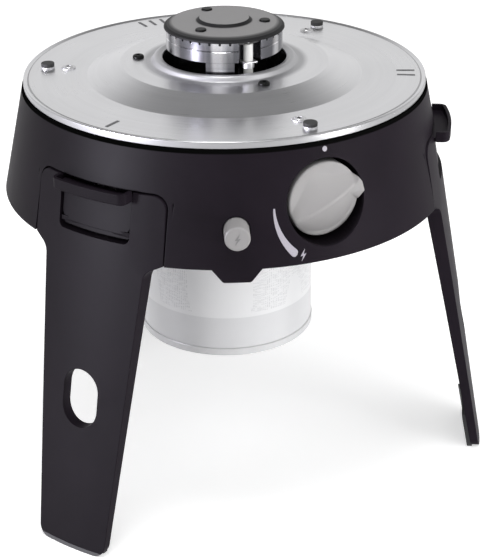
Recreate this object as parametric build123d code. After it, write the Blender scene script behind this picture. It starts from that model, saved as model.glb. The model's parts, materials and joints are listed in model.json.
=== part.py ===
from build123d import *
import math
import os

# Portable gas grill base: a round skirt on three pull-out legs, a pressed steel
# tray with a burner in its middle, and a gas cartridge screwed in from below.
# Millimetres, Z up. The burner axis is vertical and the knob faces -Y.

os.makedirs("parts", exist_ok=True)

# Skirt, the conical plastic body
skirt_foot_radius = 150.0
skirt_flare = 15.6
skirt_top_radius = skirt_foot_radius - skirt_flare
skirt_foot_height = 199.4
skirt_height = 71.2
skirt_wall = 2.8
upstand_radius = skirt_top_radius - skirt_wall
upstand_wall = 3.0
shelf_width = 4.0
shelf_thickness = 2.4

# Tray, one pressed steel sheet
tray_stand = 4.0
tray_height = skirt_foot_height + skirt_height + tray_stand
tray_sheet = 1.0
tray_rim_inset = 0.9
tray_rim_radius = skirt_top_radius - tray_rim_inset
tray_rim_drop = 3.5
tray_bead_rise = 0.7
tray_bead_width = 2.4
tray_groove_width = 1.2
tray_groove_depth = 0.5
tray_press_round = 2.0
tray_outer_round_share = 0.9
tray_flat_width = 42.0
tray_slope_radius = tray_rim_radius - tray_flat_width
tray_slope_width = 22.5
mesa_radius = tray_slope_radius - tray_slope_width
mesa_rise = 7.9
collar_rise = 6.0
collar_hole_radius = 41.3
collar_crest_width = 3.3
collar_crest_radius = collar_hole_radius + collar_crest_width
collar_slope_width = 5.4
collar_foot_radius = collar_crest_radius + collar_slope_width
collar_lip_drop = 3.0

# Three-fold places, measured round the burner axis from +X
trio_angles = (30.0, 150.0, 270.0)
leg_angles = (210.0, 330.0, 90.0)
knob_angle = 270.0
igniter_angle = 246.8

# Pan pegs and tray screws
hole_clearance = 0.15
peg_inset = 14.5
peg_circle_radius = tray_rim_radius - peg_inset
peg_radius = 4.6
ferrule_height = 2.0
ferrule_lip = 0.5
pad_height = 3.0
peg_stem_radius = 1.8
peg_stem_length = 3.0
peg_clip_radius = 4.0
peg_clip_thickness = 0.8
screw_inset = 14.0
screw_circle_radius = peg_circle_radius - screw_inset
screw_washer_radius = 4.6
screw_washer_thickness = 0.6
screw_head_radius = 3.0
screw_head_height = 1.6
screw_shank_radius = 1.8
screw_length = 9.0
screw_boss_radius = 4.5
screw_boss_length = 12.0
boss_web_thickness = 2.6
cross_slot_width = 0.9
cross_slot_length = 3.6
cross_slot_depth = 0.9

# Bracket screws through the raised middle of the tray
bracket_screw_offset = 7.6
bracket_circle_radius = collar_foot_radius + bracket_screw_offset
button_head_radius = 3.8
button_head_height = 2.2
bracket_shank_radius = 2.0
bracket_shank_length = 7.0
hex_socket_width = 2.5
hex_socket_depth = 1.3
bracket_nut_width = 7.0
bracket_nut_thickness = 2.4

# Burner well, a black pressed bowl hung under the tray
well_sheet = 1.2
well_flange_margin = 6.4
well_flange_radius = bracket_circle_radius + well_flange_margin
well_wall_offset = 5.7
well_wall_radius = collar_hole_radius + well_wall_offset
well_wall_lean = 5.0
well_floor_radius = well_wall_radius - well_wall_lean
well_depth = 14.6
well_floor_height = tray_height - well_depth
well_throat_radius = 13.0
well_corner_radius = 4.0
well_air_hole_radius = 4.0
well_air_hole_circle = 28.0
well_air_hole_count = 8

# Burner ring with its ports, feet and electrode pocket
ring_side_gap = 2.8
ring_radius = collar_hole_radius - ring_side_gap
ring_wall = 2.4
ring_lift = 17.4
ring_foot_height = tray_height + ring_lift
ring_band_height = 14.0
ring_top_height = ring_foot_height + ring_band_height
ring_floor_thickness = 1.6
ring_seam_rise = 7.5
ring_seam_height = ring_foot_height + ring_seam_rise
ring_seam_size = 0.5
port_count = 36
port_width = 1.5
port_height = 2.4
foot_angles = (240.0, 0.0, 120.0)
foot_half_angle = 14.0
foot_plate = 2.0
foot_toe_length = 5.0
pocket_half_angle = 12.0
pocket_depth = 7.6
pocket_wall = 1.4
throat_fit_clearance = 0.4
throat_radius = well_throat_radius - throat_fit_clearance
throat_wall = 1.8
throat_length = 12.0

# Burner cap
cap_overhang = 1.3
cap_radius = ring_radius + cap_overhang
cap_rim_height = 2.5
cap_disc_radius = 16.1
cap_disc_rise = 2.2
cap_crown_rise = 0.8
cap_spigot_wall = 1.6
cap_spigot_depth = 3.0
cap_fit_clearance = 0.2
cap_stud_radius = 3.6
cap_stud_height = 1.7
cap_stud_circle = 26.7
cap_stud_angles = (90.0, 210.0, 330.0)
cap_edge_round = 1.5

# Mixing tube, jet and valve
tube_clearance = 0.2
tube_wall = 1.2
tube_drop = 10.0
tube_foot_height = well_floor_height - tube_drop
tube_air_slot_width = 5.0
tube_air_slot_height = 10.0
tube_air_slot_count = 4
valve_rise = 34.8
valve_axis_height = skirt_foot_height + valve_rise
valve_width = 26.0
valve_depth = 30.0
valve_top_rise = 9.0
valve_stub_radius = 13.0
valve_stub_drop = 20.2
valve_stub_foot_height = valve_axis_height - valve_stub_drop
valve_nose_radius = 9.0
valve_nose_length = 16.0
jet_radius = 3.0
jet_hex_width = 8.0
jet_hex_height = 4.0
jet_length = 12.0
jet_bore_radius = 0.8
gland_width = 14.0
gland_length = 7.0
bracket_plate = 1.5
bracket_plate_width = 32.0
bracket_tab_length = 9.0
bracket_rivet_radius = 2.0
bracket_rivet_head_radius = 3.4
bracket_rivet_head_height = 1.8

# Gas cartridge, placed downwards from the valve
can_radius = 60.3
can_length = 114.9
can_base_rim_height = 5.6
can_base_rim_proud = 0.7
can_base_recess = 4.0
can_shoulder_drop = 19.5
can_dome_radius = 24.0
can_sheet = 0.6
cup_seat_gap = 3.0
cup_height = valve_stub_foot_height - cup_seat_gap
cup_rise = 5.5
can_dome_height = cup_height - cup_rise
can_shoulder_height = can_dome_height - can_shoulder_drop
can_foot_height = can_dome_height - can_length
cup_radius = 16.0
cup_bead_radius = 1.6
stub_radius = 5.4
stub_reach = 7.5
stub_height = valve_stub_foot_height + stub_reach
stub_clearance = 0.3
seal_thickness = 1.6
seal_bore_radius = 2.4

# Knob in its round well
knob_radius = 23.8
knob_side_gap = 2.8
knob_well_radius = knob_radius + knob_side_gap
knob_well_wall = 2.4
knob_well_depth = 18.0
knob_well_floor_thickness = 2.6
knob_floor_gap = 1.2
knob_rim_rise = 13.1
knob_ridge_rise = 7.2
knob_pointer_angle = 26.0
knob_beak_reach = 2.4
knob_beak_drop = 7.9
knob_beak_foot = 11.6
knob_scoop_radius = 30.0
knob_bow_radius = 62.0
knob_ridge_width = 1.0
knob_edge_round = 1.0
knob_hub_radius = 7.0
knob_shell_wall = 2.4
spindle_radius = 3.0
spindle_clearance = 0.3
spindle_tip_gap = 2.5

# Piezo igniter with its button
button_rise = 23.6
button_height = skirt_foot_height + button_rise
button_radius = 7.8
button_clearance = 0.35
button_proud = 12.2
button_length = 26.0
button_edge_round = 0.8
button_travel = 5.0
piezo_sleeve_wall = 2.7
piezo_sleeve_radius = button_radius + piezo_sleeve_wall
piezo_body_radius = 8.0
piezo_body_length = 26.0
piezo_sleeve_length = 22.0
piezo_collar_thickness = 1.6
piezo_nut_margin = 4.0
piezo_nut_width = piezo_sleeve_radius * 2 + piezo_nut_margin
piezo_nut_thickness = 3.0

# Electrode and its lead
electrode_inset = 3.3
electrode_circle_radius = ring_radius - electrode_inset
ceramic_radius = 3.1
ceramic_foot_rise = 12.0
ceramic_foot_height = well_floor_height + ceramic_foot_rise
ceramic_top_drop = 2.6
ceramic_top_height = ring_top_height - ceramic_top_drop
electrode_rod_radius = 0.9
electrode_tip_rise = 1.8
electrode_tail = 6.0
clip_thickness = 0.8
clip_width = 9.0
lead_radius = 1.5
lead_boot_radius = 2.6
lead_boot_length = 8.0
lead_bend_share = 0.45

# Skirt tab below the igniter
tab_half_width_top = 15.4
tab_half_width_foot = 8.6
tab_drop = 7.7
tab_corner_round = 2.5

# Legs: conical shells that slide in pockets of the skirt
leg_face_inset = 0.5
leg_taper = 0.1835
leg_foot_radius = skirt_foot_radius - leg_face_inset + leg_taper * skirt_foot_height
leg_skin = 2.6
leg_flange = 2.4
leg_depth_top = 10.5
leg_depth_foot = 5.5
leg_housing = 42.4
leg_top_height = skirt_foot_height + leg_housing
leg_root_half_width = 49.7
leg_top_narrowing = 1.6
leg_top_half_width = leg_root_half_width - leg_top_narrowing
leg_shoulder_step = 11.5
leg_shoulder_half_width = leg_root_half_width - leg_shoulder_step
leg_shoulder_drop = 5.8
leg_shoulder_height = skirt_foot_height - leg_shoulder_drop
leg_foot_half_width = 26.4
leg_top_corner = 9.0
leg_shoulder_round = 8.0
leg_foot_corner = 8.0
leg_rib_shares = (0.12, 0.3, 0.732, 0.893)
leg_rib_thickness = 1.8
hole_height_share = 0.52
hole_height = skirt_foot_height * hole_height_share
hole_half_width = 13.6
hole_half_length = 19.4
hole_collar_wall = 2.4
foot_pad_thickness = 2.6
window_side_width = 20.9
window_half_width = leg_top_half_width - window_side_width
window_rise = 10.2
window_foot_height = skirt_foot_height + window_rise
window_corner = 4.0
leg_gap = 1.0
rail_width = 2.2
rail_depth = 3.0
rail_setback = 12.6
rail_rise = 3.6
rail_foot_height = skirt_foot_height + rail_rise
rail_top_drop = 5.8
rail_top_height = leg_top_height - rail_top_drop
rail_clearance = 0.4

# Pocket that takes the leg
pocket_back_gap = 1.6
pocket_back_wall = 2.4
cheek_wall = 5.4
pocket_top_wall = 2.6
nose_slot_clearance = 0.9

# Latch in the window of each leg
latch_side_gap = 0.9
latch_recess = 2.0
latch_panel_thickness = 2.2
latch_foot_gap = 1.8
latch_foot_height = window_foot_height + latch_foot_gap
latch_ledge_height = 3.2
latch_ledge_setback = 1.2
latch_panel_corner = 6.0
latch_ledge_corner = 3.0
latch_pin_rise = 5.4
latch_pin_height = window_foot_height + latch_pin_rise
latch_pin_setback = 8.6
latch_pin_radius = 1.5
latch_pin_clearance = 0.15
latch_barrel_radius = 2.9
latch_boss_radius = 2.6
latch_spring_half_length = 8.0
latch_spring_radius = 2.2
latch_spring_gap = 0.6
lip_overlap = 0.6
lip_half_width = window_half_width + lip_overlap
lip_drop = 5.2
lip_foot_height = leg_top_height - lip_drop
lip_height = 7.2
lip_top_height = lip_foot_height + lip_height
lip_reach = 9.3
lip_wall = 2.2
lip_floor_rise = 3.0
lip_floor_height = lip_foot_height + lip_floor_rise
lip_standoff = 0.5
lip_round = 1.6
lip_corner = 5.0
nose_half_width = 7.0
nose_drop = 9.2
nose_foot_height = leg_top_height - nose_drop
nose_thickness = 3.6
nose_bite = 3.0

# Overrun of cutting shapes past the faces that they cut
overrun = 1.0

# Worked-out sizes
skirt_taper = (skirt_foot_radius - skirt_top_radius) / skirt_height
skirt_top_height = skirt_foot_height + skirt_height
tray_under = tray_height - tray_sheet
mesa_height = tray_height + mesa_rise
mesa_under = mesa_height - tray_sheet
knob_height = valve_axis_height
throat_foot_height = ring_foot_height - throat_length


def skirt_radius(height):
    """Outer radius of the skirt at a height."""
    return skirt_foot_radius - skirt_taper * (height - skirt_foot_height)


def leg_radius(height):
    """Outer radius of a leg at a height."""
    return leg_foot_radius - leg_taper * height


def leg_depth(height):
    """Depth of a leg's flange, which grows from the foot to the top."""
    share = height / leg_top_height
    return leg_depth_foot + (leg_depth_top - leg_depth_foot) * share


knob_well_floor_y = skirt_radius(knob_height) - knob_well_depth
knob_rim_y = knob_well_floor_y + knob_rim_rise
knob_ridge_y = knob_rim_y + knob_ridge_rise
spindle_tip_y = knob_rim_y - spindle_tip_gap
button_front_radius = skirt_radius(button_height) + button_proud


def turned(points, radii=None):
    """Solid of revolution about the burner axis from (radius, height) points."""
    if radii is None:
        line = Polyline(*points, close=True)
    else:
        line = FilletPolyline(*points, radius=radii, close=True)
    return revolve(make_face(Plane.XZ * line), Axis.Z)


def cylinder_at(x, y, foot, top, radius):
    """Upright cylinder from one height to another."""
    return Pos(x, y, foot) * extrude(Circle(radius), top - foot)


def polar(radius, angle, height=0.0):
    """Point at a radius and an angle round the burner axis."""
    turn = math.radians(angle)
    return Vector(radius * math.cos(turn), radius * math.sin(turn), height)


def spread(shape, angles):
    """Copies of a shape made on the +X side, one at each angle."""
    return [Rot(0, 0, angle) * shape for angle in angles]


def joined(shapes):
    """One compound of separate solids."""
    solids = [solid for shape in shapes for solid in shape.solids()]
    return Compound(children=solids)


def outward_prism(outline, start, end):
    """Outline in (sideways, height) pushed along +X from start to end."""
    return extrude(Plane.YZ.offset(start) * outline, end - start)


def facing(radius, height):
    """Plane square to +X at a radius and height, for pieces that point outward."""
    return Plane((radius, 0, height), x_dir=(0, 1, 0), z_dir=(1, 0, 0))


# Tray
def tray_outline():
    flat = tray_height
    rim = tray_rim_radius
    bead = tray_rim_radius - tray_bead_width
    groove = bead - tray_groove_width
    crest = mesa_height + collar_rise
    lip_foot = crest - collar_lip_drop
    top = [
        (collar_hole_radius, lip_foot),
        (collar_hole_radius + tray_sheet, crest),
        (collar_crest_radius, crest),
        (collar_foot_radius - tray_sheet, mesa_height),
        (mesa_radius, mesa_height),
        (tray_slope_radius, flat),
        (groove, flat),
        (groove + tray_groove_width / 2, flat - tray_groove_depth),
        (bead, flat),
        (bead + tray_sheet, flat + tray_bead_rise),
        (rim, flat + tray_bead_rise),
        (rim, flat - tray_rim_drop),
    ]
    under = [
        (rim - tray_sheet, flat - tray_rim_drop),
        (rim - tray_sheet, flat - tray_sheet),
        (tray_slope_radius, flat - tray_sheet),
        (mesa_radius - tray_sheet / 2, mesa_height - tray_sheet),
        (collar_foot_radius - tray_sheet * 2, mesa_height - tray_sheet),
        (collar_crest_radius - tray_sheet / 2, crest - tray_sheet),
        (collar_hole_radius + tray_sheet * 2, crest - tray_sheet),
        (collar_hole_radius + tray_sheet, lip_foot),
    ]
    return top + under


def make_tray():
    large = tray_press_round
    outer_round = tray_sheet * tray_outer_round_share
    inner_round = tray_sheet / 2 - hole_clearance
    radii = [0, inner_round, outer_round, large, large, large, 0, 0, 0, 0, outer_round, 0]
    radii += [0, 0, 0, 0, 0, 0, 0, 0]
    tray = turned(tray_outline(), radii)
    holes = through_holes(peg_circle_radius, peg_stem_radius)
    holes += through_holes(screw_circle_radius, screw_shank_radius)
    holes += through_holes(bracket_circle_radius, bracket_shank_radius)
    return tray - holes


def through_holes(circle_radius, shank_radius):
    """Three upright holes that a shank passes with a small clearance."""
    radius = shank_radius + hole_clearance
    hole = cylinder_at(circle_radius, 0, skirt_foot_height, tray_height * 2, radius)
    return spread(hole, trio_angles)


def make_peg_ferrules():
    body = cylinder_at(peg_circle_radius, 0, tray_height, tray_height + ferrule_height, peg_radius)
    body = chamfer(body.edges().group_by(Axis.Z)[-1], ferrule_lip)
    ferrules = joined(spread(body, trio_angles))
    return joined([ferrules - through_holes(peg_circle_radius, peg_stem_radius)])


def make_peg_pads():
    foot = tray_height + ferrule_height
    head = cylinder_at(peg_circle_radius, 0, foot, foot + pad_height, peg_radius - ferrule_lip)
    head = fillet(head.edges().group_by(Axis.Z)[-1], pad_height / 3)
    stem = cylinder_at(peg_circle_radius, 0, tray_under - peg_stem_length, foot, peg_stem_radius)
    clip_top = tray_under
    clip = cylinder_at(peg_circle_radius, 0, clip_top - peg_clip_thickness, clip_top, peg_clip_radius)
    return joined(spread(head + stem + clip, trio_angles))


def make_tray_screws():
    seat = tray_height
    top = seat + screw_washer_thickness + screw_head_height
    washer = cylinder_at(0, 0, seat, seat + screw_washer_thickness, screw_washer_radius)
    head = cylinder_at(0, 0, seat, top, screw_head_radius)
    head = fillet(head.edges().group_by(Axis.Z)[-1], screw_head_height / 2)
    shank = cylinder_at(0, 0, seat - screw_length, seat, screw_shank_radius)
    slot = Box(cross_slot_length, cross_slot_width, cross_slot_depth * 2)
    cross = Pos(0, 0, top) * (slot + Rot(0, 0, 90) * slot)
    screw = Pos(screw_circle_radius, 0, 0) * (washer + head + shank - cross)
    return joined(spread(screw, trio_angles))


def make_bracket_screws():
    top = mesa_height + button_head_height
    head = cylinder_at(0, 0, mesa_height, top, button_head_radius)
    head = fillet(head.edges().group_by(Axis.Z)[-1], button_head_height * 0.7)
    shank = cylinder_at(0, 0, mesa_height - bracket_shank_length, mesa_height, bracket_shank_radius)
    socket_face = RegularPolygon(hex_socket_width / 2, 6, major_radius=False)
    socket = Pos(0, 0, top - hex_socket_depth) * extrude(socket_face, hex_socket_depth + overrun)
    screw = Pos(bracket_circle_radius, 0, 0) * (head + shank - socket)
    return joined(spread(screw, trio_angles))


def make_bracket_nuts():
    face = RegularPolygon(bracket_nut_width / 2, 6, major_radius=False)
    face -= Circle(bracket_shank_radius + hole_clearance)
    foot = mesa_under - well_sheet - bracket_nut_thickness
    nut = Pos(bracket_circle_radius, 0, foot) * extrude(face, bracket_nut_thickness)
    return joined(spread(nut, trio_angles))


# Burner
def make_burner_well():
    top = mesa_under
    floor = well_floor_height
    points = [
        (well_throat_radius, floor),
        (well_floor_radius, floor),
        (well_wall_radius, top - well_sheet),
        (well_flange_radius, top - well_sheet),
        (well_flange_radius, top),
        (well_wall_radius - well_sheet, top),
        (well_floor_radius - well_sheet, floor + well_sheet),
        (well_throat_radius, floor + well_sheet),
    ]
    corner = well_corner_radius
    radii = [0, corner, corner / 2, 0, 0, corner / 2 + well_sheet, corner - well_sheet, 0]
    bowl = turned(points, radii)
    air_hole = cylinder_at(well_air_hole_circle, 0, 0, top, well_air_hole_radius)
    pitch = 360 / well_air_hole_count
    angles = [knob_angle + pitch / 2 + pitch * n for n in range(well_air_hole_count)]
    bowl -= spread(air_hole, angles)
    bowl -= through_holes(bracket_circle_radius, bracket_shank_radius)
    rivet_hole = cylinder_at(bracket_rivet_x(), 0, 0, top, bracket_rivet_radius + hole_clearance)
    bowl -= spread(rivet_hole, (0.0, 180.0))
    rod_hole = cylinder_at(electrode_circle_radius, 0, 0, top, electrode_rod_radius * 2)
    return bowl - spread(rod_hole, [knob_angle])


def sector(half_angle, reach, foot, top):
    """Wedge of space on the +X side, from one height to another."""
    turn = math.radians(half_angle)
    side = reach / math.cos(turn)
    corners = [(0, 0), (side * math.cos(turn), -side * math.sin(turn)),
               (side * math.cos(turn), side * math.sin(turn))]
    return Pos(0, 0, foot) * extrude(make_face(Polyline(*corners, close=True)), top - foot)


def make_burner_ring():
    foot = ring_foot_height
    top = ring_top_height
    inner = ring_radius - ring_wall
    seam = ring_seam_size
    outer_edge = [
        (ring_radius, foot),
        (ring_radius, ring_seam_height - seam),
        (ring_radius - seam, ring_seam_height),
        (ring_radius, ring_seam_height + seam),
        (ring_radius, top),
    ]
    shell = turned(outer_edge + [
        (inner, top),
        (inner, foot + ring_floor_thickness),
        (throat_radius - throat_wall, foot + ring_floor_thickness),
        (throat_radius - throat_wall, throat_foot_height),
        (throat_radius, throat_foot_height),
        (throat_radius, foot),
    ])
    port = Pos(ring_radius, 0, top - port_height / 2) * Box(ring_wall * 3, port_width, port_height)
    pitch = 360 / port_count
    ports = spread(port, [pitch * n for n in range(port_count)])
    cut = pocket_cut()
    wall = turned([
        (ring_radius - pocket_depth - pocket_wall, foot),
        (ring_radius - seam, foot),
        (ring_radius - seam, top),
        (ring_radius - pocket_depth - pocket_wall, top),
    ])
    wall_half = pocket_half_angle + math.degrees(pocket_wall / (ring_radius - pocket_depth))
    wall &= Rot(0, 0, knob_angle) * sector(wall_half, ring_radius * 2, foot, top)
    ring = shell - ports + wall - cut
    return ring + burner_feet()


def pocket_cut():
    """Space in the ring's side where the electrode stands."""
    foot = ring_foot_height - overrun
    top = ring_top_height + overrun
    space = turned([
        (ring_radius - pocket_depth, foot),
        (ring_radius + overrun, foot),
        (ring_radius + overrun, top),
        (ring_radius - pocket_depth, top),
    ])
    return space & (Rot(0, 0, knob_angle) * sector(pocket_half_angle, ring_radius * 2, foot, top))


def burner_feet():
    """Three wide feet that stand the ring on the floor of the well."""
    floor = well_floor_height + well_sheet
    skirt = turned([
        (ring_radius - foot_plate, floor),
        (ring_radius - ring_seam_size / 2, floor),
        (ring_radius - ring_seam_size / 2, ring_foot_height + ring_floor_thickness),
        (ring_radius - foot_plate, ring_foot_height + ring_floor_thickness),
    ])
    toe = turned([
        (ring_radius - foot_toe_length, floor),
        (ring_radius - ring_seam_size / 2, floor),
        (ring_radius - ring_seam_size / 2, floor + foot_plate),
        (ring_radius - foot_toe_length, floor + foot_plate),
    ])
    foot = (skirt + toe) & sector(foot_half_angle, ring_radius * 2, 0, ring_top_height)
    return spread(foot, foot_angles)


def make_burner_cap():
    foot = ring_top_height
    rim_top = foot + cap_rim_height
    crown = rim_top + cap_crown_rise
    disc = crown + cap_disc_rise
    spigot = ring_radius - ring_wall - cap_fit_clearance
    points = [
        (0, foot + cap_edge_round),
        (spigot - cap_spigot_wall, foot + cap_edge_round),
        (spigot - cap_spigot_wall, foot - cap_spigot_depth),
        (spigot, foot - cap_spigot_depth),
        (spigot, foot),
        (cap_radius, foot),
        (cap_radius, rim_top),
        (cap_disc_radius + cap_disc_rise, crown),
        (cap_disc_radius, disc),
        (0, disc),
    ]
    radii = [0, 0, 0, 0, 0, cap_edge_round / 2, cap_edge_round, cap_edge_round, cap_edge_round / 2, 0]
    cap = turned(points, radii)
    spigot_cut = sector(pocket_half_angle + pocket_wall * 3, ring_radius, foot - cap_spigot_depth, foot)
    cap -= Rot(0, 0, knob_angle) * spigot_cut
    seats = cylinder_at(cap_stud_circle, 0, cap_stud_seat(), disc * 2, cap_stud_radius + hole_clearance)
    return cap - spread(seats, cap_stud_angles)


def cap_stud_seat():
    """Height of the shallow counterbores that the cap's studs sit in."""
    share = (cap_radius - cap_stud_circle) / (cap_radius - cap_disc_radius - cap_disc_rise)
    return ring_top_height + cap_rim_height + cap_crown_rise * share - cap_crown_rise / 2


def make_cap_studs():
    seat = cap_stud_seat()
    stud = cylinder_at(cap_stud_circle, 0, seat, seat + cap_stud_height, cap_stud_radius)
    stud = chamfer(stud.edges().group_by(Axis.Z)[-1], cap_stud_height / 4)
    return joined(spread(stud, cap_stud_angles))


def make_mixing_tube():
    outer = throat_radius - throat_wall - tube_clearance
    inner = outer - tube_wall
    tube = cylinder_at(0, 0, tube_foot_height, ring_foot_height, outer)
    tube -= cylinder_at(0, 0, tube_foot_height - overrun, ring_foot_height + overrun, inner)
    slot_z = tube_foot_height + tube_air_slot_height
    slot = Pos(outer, 0, slot_z) * Box(outer, tube_air_slot_width, tube_air_slot_height)
    pitch = 360 / tube_air_slot_count
    return tube - spread(slot, [pitch * n + pitch / 2 for n in range(tube_air_slot_count)])


# Valve, jet and their bracket
def make_valve_body():
    block = Pos(0, 0, valve_axis_height) * Box(valve_width, valve_depth, valve_top_rise * 2)
    block = fillet(block.edges().filter_by(Axis.Z), valve_top_rise / 3)
    stub = cylinder_at(0, 0, valve_stub_foot_height, valve_axis_height, valve_stub_radius)
    nose = Plane((0, -valve_depth / 2, valve_axis_height), z_dir=(0, -1, 0)) * extrude(
        Circle(valve_nose_radius), valve_nose_length)
    body = block + stub + nose
    bore_top = stub_height + stub_clearance + seal_thickness
    body -= cylinder_at(0, 0, 0, bore_top, stub_radius + stub_clearance)
    body -= cylinder_at(0, 0, valve_axis_height, valve_axis_height * 2, jet_radius)
    spindle_bore = Plane((0, 0, valve_axis_height), z_dir=(0, -1, 0)) * extrude(
        Circle(spindle_radius + spindle_clearance), valve_depth + valve_nose_length)
    return body - spindle_bore


def make_connector_seal():
    foot = stub_height + stub_clearance
    ring = Circle(stub_radius + stub_clearance) - Circle(seal_bore_radius)
    return Pos(0, 0, foot) * extrude(ring, seal_thickness)


def make_gas_jet():
    seat = valve_axis_height + valve_top_rise
    foot = seat - jet_hex_height
    stem = cylinder_at(0, 0, foot, foot + jet_length, jet_radius)
    hexagon = RegularPolygon(jet_hex_width / 2, 6, major_radius=False)
    head = Pos(0, 0, seat) * extrude(hexagon, jet_hex_height)
    jet = stem + head
    jet = chamfer(jet.edges().group_by(Axis.Z)[-1], jet_radius / 3)
    return jet - cylinder_at(0, 0, foot - overrun, foot + jet_length + overrun, jet_bore_radius)


def make_gland_nut():
    face = RegularPolygon(gland_width / 2, 6, major_radius=False)
    face -= Circle(spindle_radius + spindle_clearance)
    seat = valve_depth / 2 + valve_nose_length
    return Plane((0, -seat, valve_axis_height), z_dir=(0, -1, 0)) * extrude(face, gland_length)


def bracket_rivet_x():
    """Sideways place of the rivets through the bracket's tabs."""
    return valve_width / 2 + bracket_plate + bracket_tab_length / 2


def make_valve_bracket():
    """Two plates that hang the valve from the floor of the well."""
    top = well_floor_height
    foot = valve_axis_height - valve_top_rise
    width = bracket_plate_width
    x = valve_width / 2
    plate = Pos(x + bracket_plate / 2, 0, (top + foot) / 2) * Box(bracket_plate, width, top - foot)
    tab = Pos(bracket_rivet_x(), 0, top - bracket_plate / 2) * Box(bracket_tab_length, width, bracket_plate)
    side = plate + tab
    side -= cylinder_at(bracket_rivet_x(), 0, 0, top + overrun, bracket_rivet_radius + hole_clearance)
    cradle = Pos(0, 0, foot - bracket_plate / 2) * Box((x + bracket_plate) * 2, width, bracket_plate)
    cradle -= cylinder_at(0, 0, 0, foot + overrun, valve_stub_radius + hole_clearance)
    return side + Rot(0, 0, 180) * side + cradle


def make_bracket_rivets():
    foot = well_floor_height - bracket_plate
    top = well_floor_height + well_sheet
    shank = cylinder_at(bracket_rivet_x(), 0, foot, top, bracket_rivet_radius)
    head_foot = foot - bracket_rivet_head_height
    head = cylinder_at(bracket_rivet_x(), 0, head_foot, foot, bracket_rivet_head_radius)
    return joined(spread(shank + head, (0.0, 180.0)))


# Electrode and ignition lead
def make_electrode_ceramic():
    body = cylinder_at(electrode_circle_radius, 0, ceramic_foot_height, ceramic_top_height, ceramic_radius)
    body = fillet(body.edges().group_by(Axis.Z)[-1], ceramic_radius / 4)
    bore = electrode_rod_radius + hole_clearance / 3
    body -= cylinder_at(electrode_circle_radius, 0, 0, ceramic_top_height * 2, bore)
    return Rot(0, 0, knob_angle) * body


def make_electrode_rod():
    foot = well_floor_height - electrode_tail
    top = ceramic_top_height + electrode_tip_rise
    rod = cylinder_at(electrode_circle_radius, 0, foot, top, electrode_rod_radius)
    return Rot(0, 0, knob_angle) * rod


def make_electrode_clip():
    """Spring clip that holds the ceramic under the ring's floor."""
    plate = Box(clip_width, clip_width, clip_thickness)
    tail = Pos(-clip_width / 2, 0, 0) * Box(clip_width, clip_width, clip_thickness)
    top = ring_foot_height
    clip = Pos(electrode_circle_radius, 0, top - clip_thickness / 2) * (plate + tail)
    collar = cylinder_at(electrode_circle_radius, 0, top - clip_width / 2, top, ceramic_radius + clip_thickness)
    clip += collar
    clip -= cylinder_at(electrode_circle_radius, 0, 0, top * 2, ceramic_radius + hole_clearance / 3)
    return Rot(0, 0, knob_angle) * clip


def lead_route():
    """Corners of the lead, from the piezo's tail to the electrode's tail."""
    start = piezo_tail_radius()
    end = well_floor_height - hole_clearance * 2 - lead_boot_length
    low = end - lead_boot_length
    middle = (igniter_angle + knob_angle) / 2
    return [
        polar(start, igniter_angle, button_height),
        polar(start - lead_boot_length * 2, igniter_angle, button_height),
        polar(electrode_circle_radius + lead_boot_length * 2, igniter_angle, low),
        polar(electrode_circle_radius + lead_boot_length / 2, middle, low),
        polar(electrode_circle_radius, knob_angle, low),
        polar(electrode_circle_radius, knob_angle, end),
    ]


def piezo_tail_radius():
    """Distance of the piezo's inner end from the burner axis."""
    return piezo_back_radius() - piezo_body_length


def make_ignition_lead():
    points = lead_route()
    radii = []
    for n in range(1, len(points) - 1):
        before = points[n] - points[n - 1]
        after = points[n + 1] - points[n]
        turn = math.radians(before.get_angle(after))
        radii.append(lead_bend_share * min(before.length, after.length) / math.tan(turn / 2))
    path = FilletPolyline(*points, radius=radii)
    section = Plane(points[0], z_dir=points[1] - points[0]) * Circle(lead_radius)
    wire = sweep(section, path)
    boot = Plane(points[-1], z_dir=(0, 0, 1)) * extrude(Circle(lead_boot_radius), lead_boot_length)
    rod = cylinder_at(points[-1].X, points[-1].Y, 0, tray_height, electrode_rod_radius)
    return wire + boot - rod


# Piezo unit and its button, made on the +X side at the igniter's angle
def igniter_place(shape):
    return Rot(0, 0, igniter_angle) * shape


def outward_rod(start, end, radius, height):
    return facing(start, height) * extrude(Circle(radius), end - start)


def skirt_space(inset, foot=0.0, top=0.0):
    """Solid cone inside the skirt's outer face, moved in by an inset."""
    low = skirt_foot_height - foot
    high = skirt_top_height + top
    return turned([
        (0, low),
        (skirt_radius(low) - inset, low),
        (skirt_radius(high) - inset, high),
        (0, high),
    ])


def piezo_back_radius():
    """Distance of the sleeve's closed end, with room behind the pressed button."""
    pressed = button_front_radius - button_length - button_travel
    return pressed - button_clearance - piezo_collar_thickness


def make_piezo_body():
    back = piezo_back_radius()
    front = back + piezo_sleeve_length
    sleeve = outward_rod(back, front, piezo_sleeve_radius, button_height)
    bore = button_radius + button_clearance
    sleeve -= outward_rod(back + piezo_collar_thickness, front + overrun, bore, button_height)
    body = outward_rod(back - piezo_body_length, back, piezo_body_radius, button_height)
    unit = sleeve + body
    unit -= outward_rod(back - piezo_body_length - overrun, back - piezo_body_length + overrun,
                        lead_radius, button_height)
    return igniter_place(unit & skirt_space(skirt_wall))


def make_piezo_nut():
    face = RegularPolygon(piezo_nut_width / 2, 6, major_radius=False) - Circle(piezo_sleeve_radius)
    seat = skirt_radius(button_height + piezo_nut_width / 2) - skirt_wall - piezo_nut_thickness
    nut = facing(seat - piezo_collar_thickness, button_height) * extrude(face, piezo_nut_thickness)
    return igniter_place(nut)


def make_igniter_button():
    back = button_front_radius - button_length
    stem = outward_rod(back, button_front_radius, button_radius, button_height)
    stem = fillet(stem.edges().group_by(Axis.X)[-1], button_edge_round)
    return igniter_place(stem)


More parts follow.
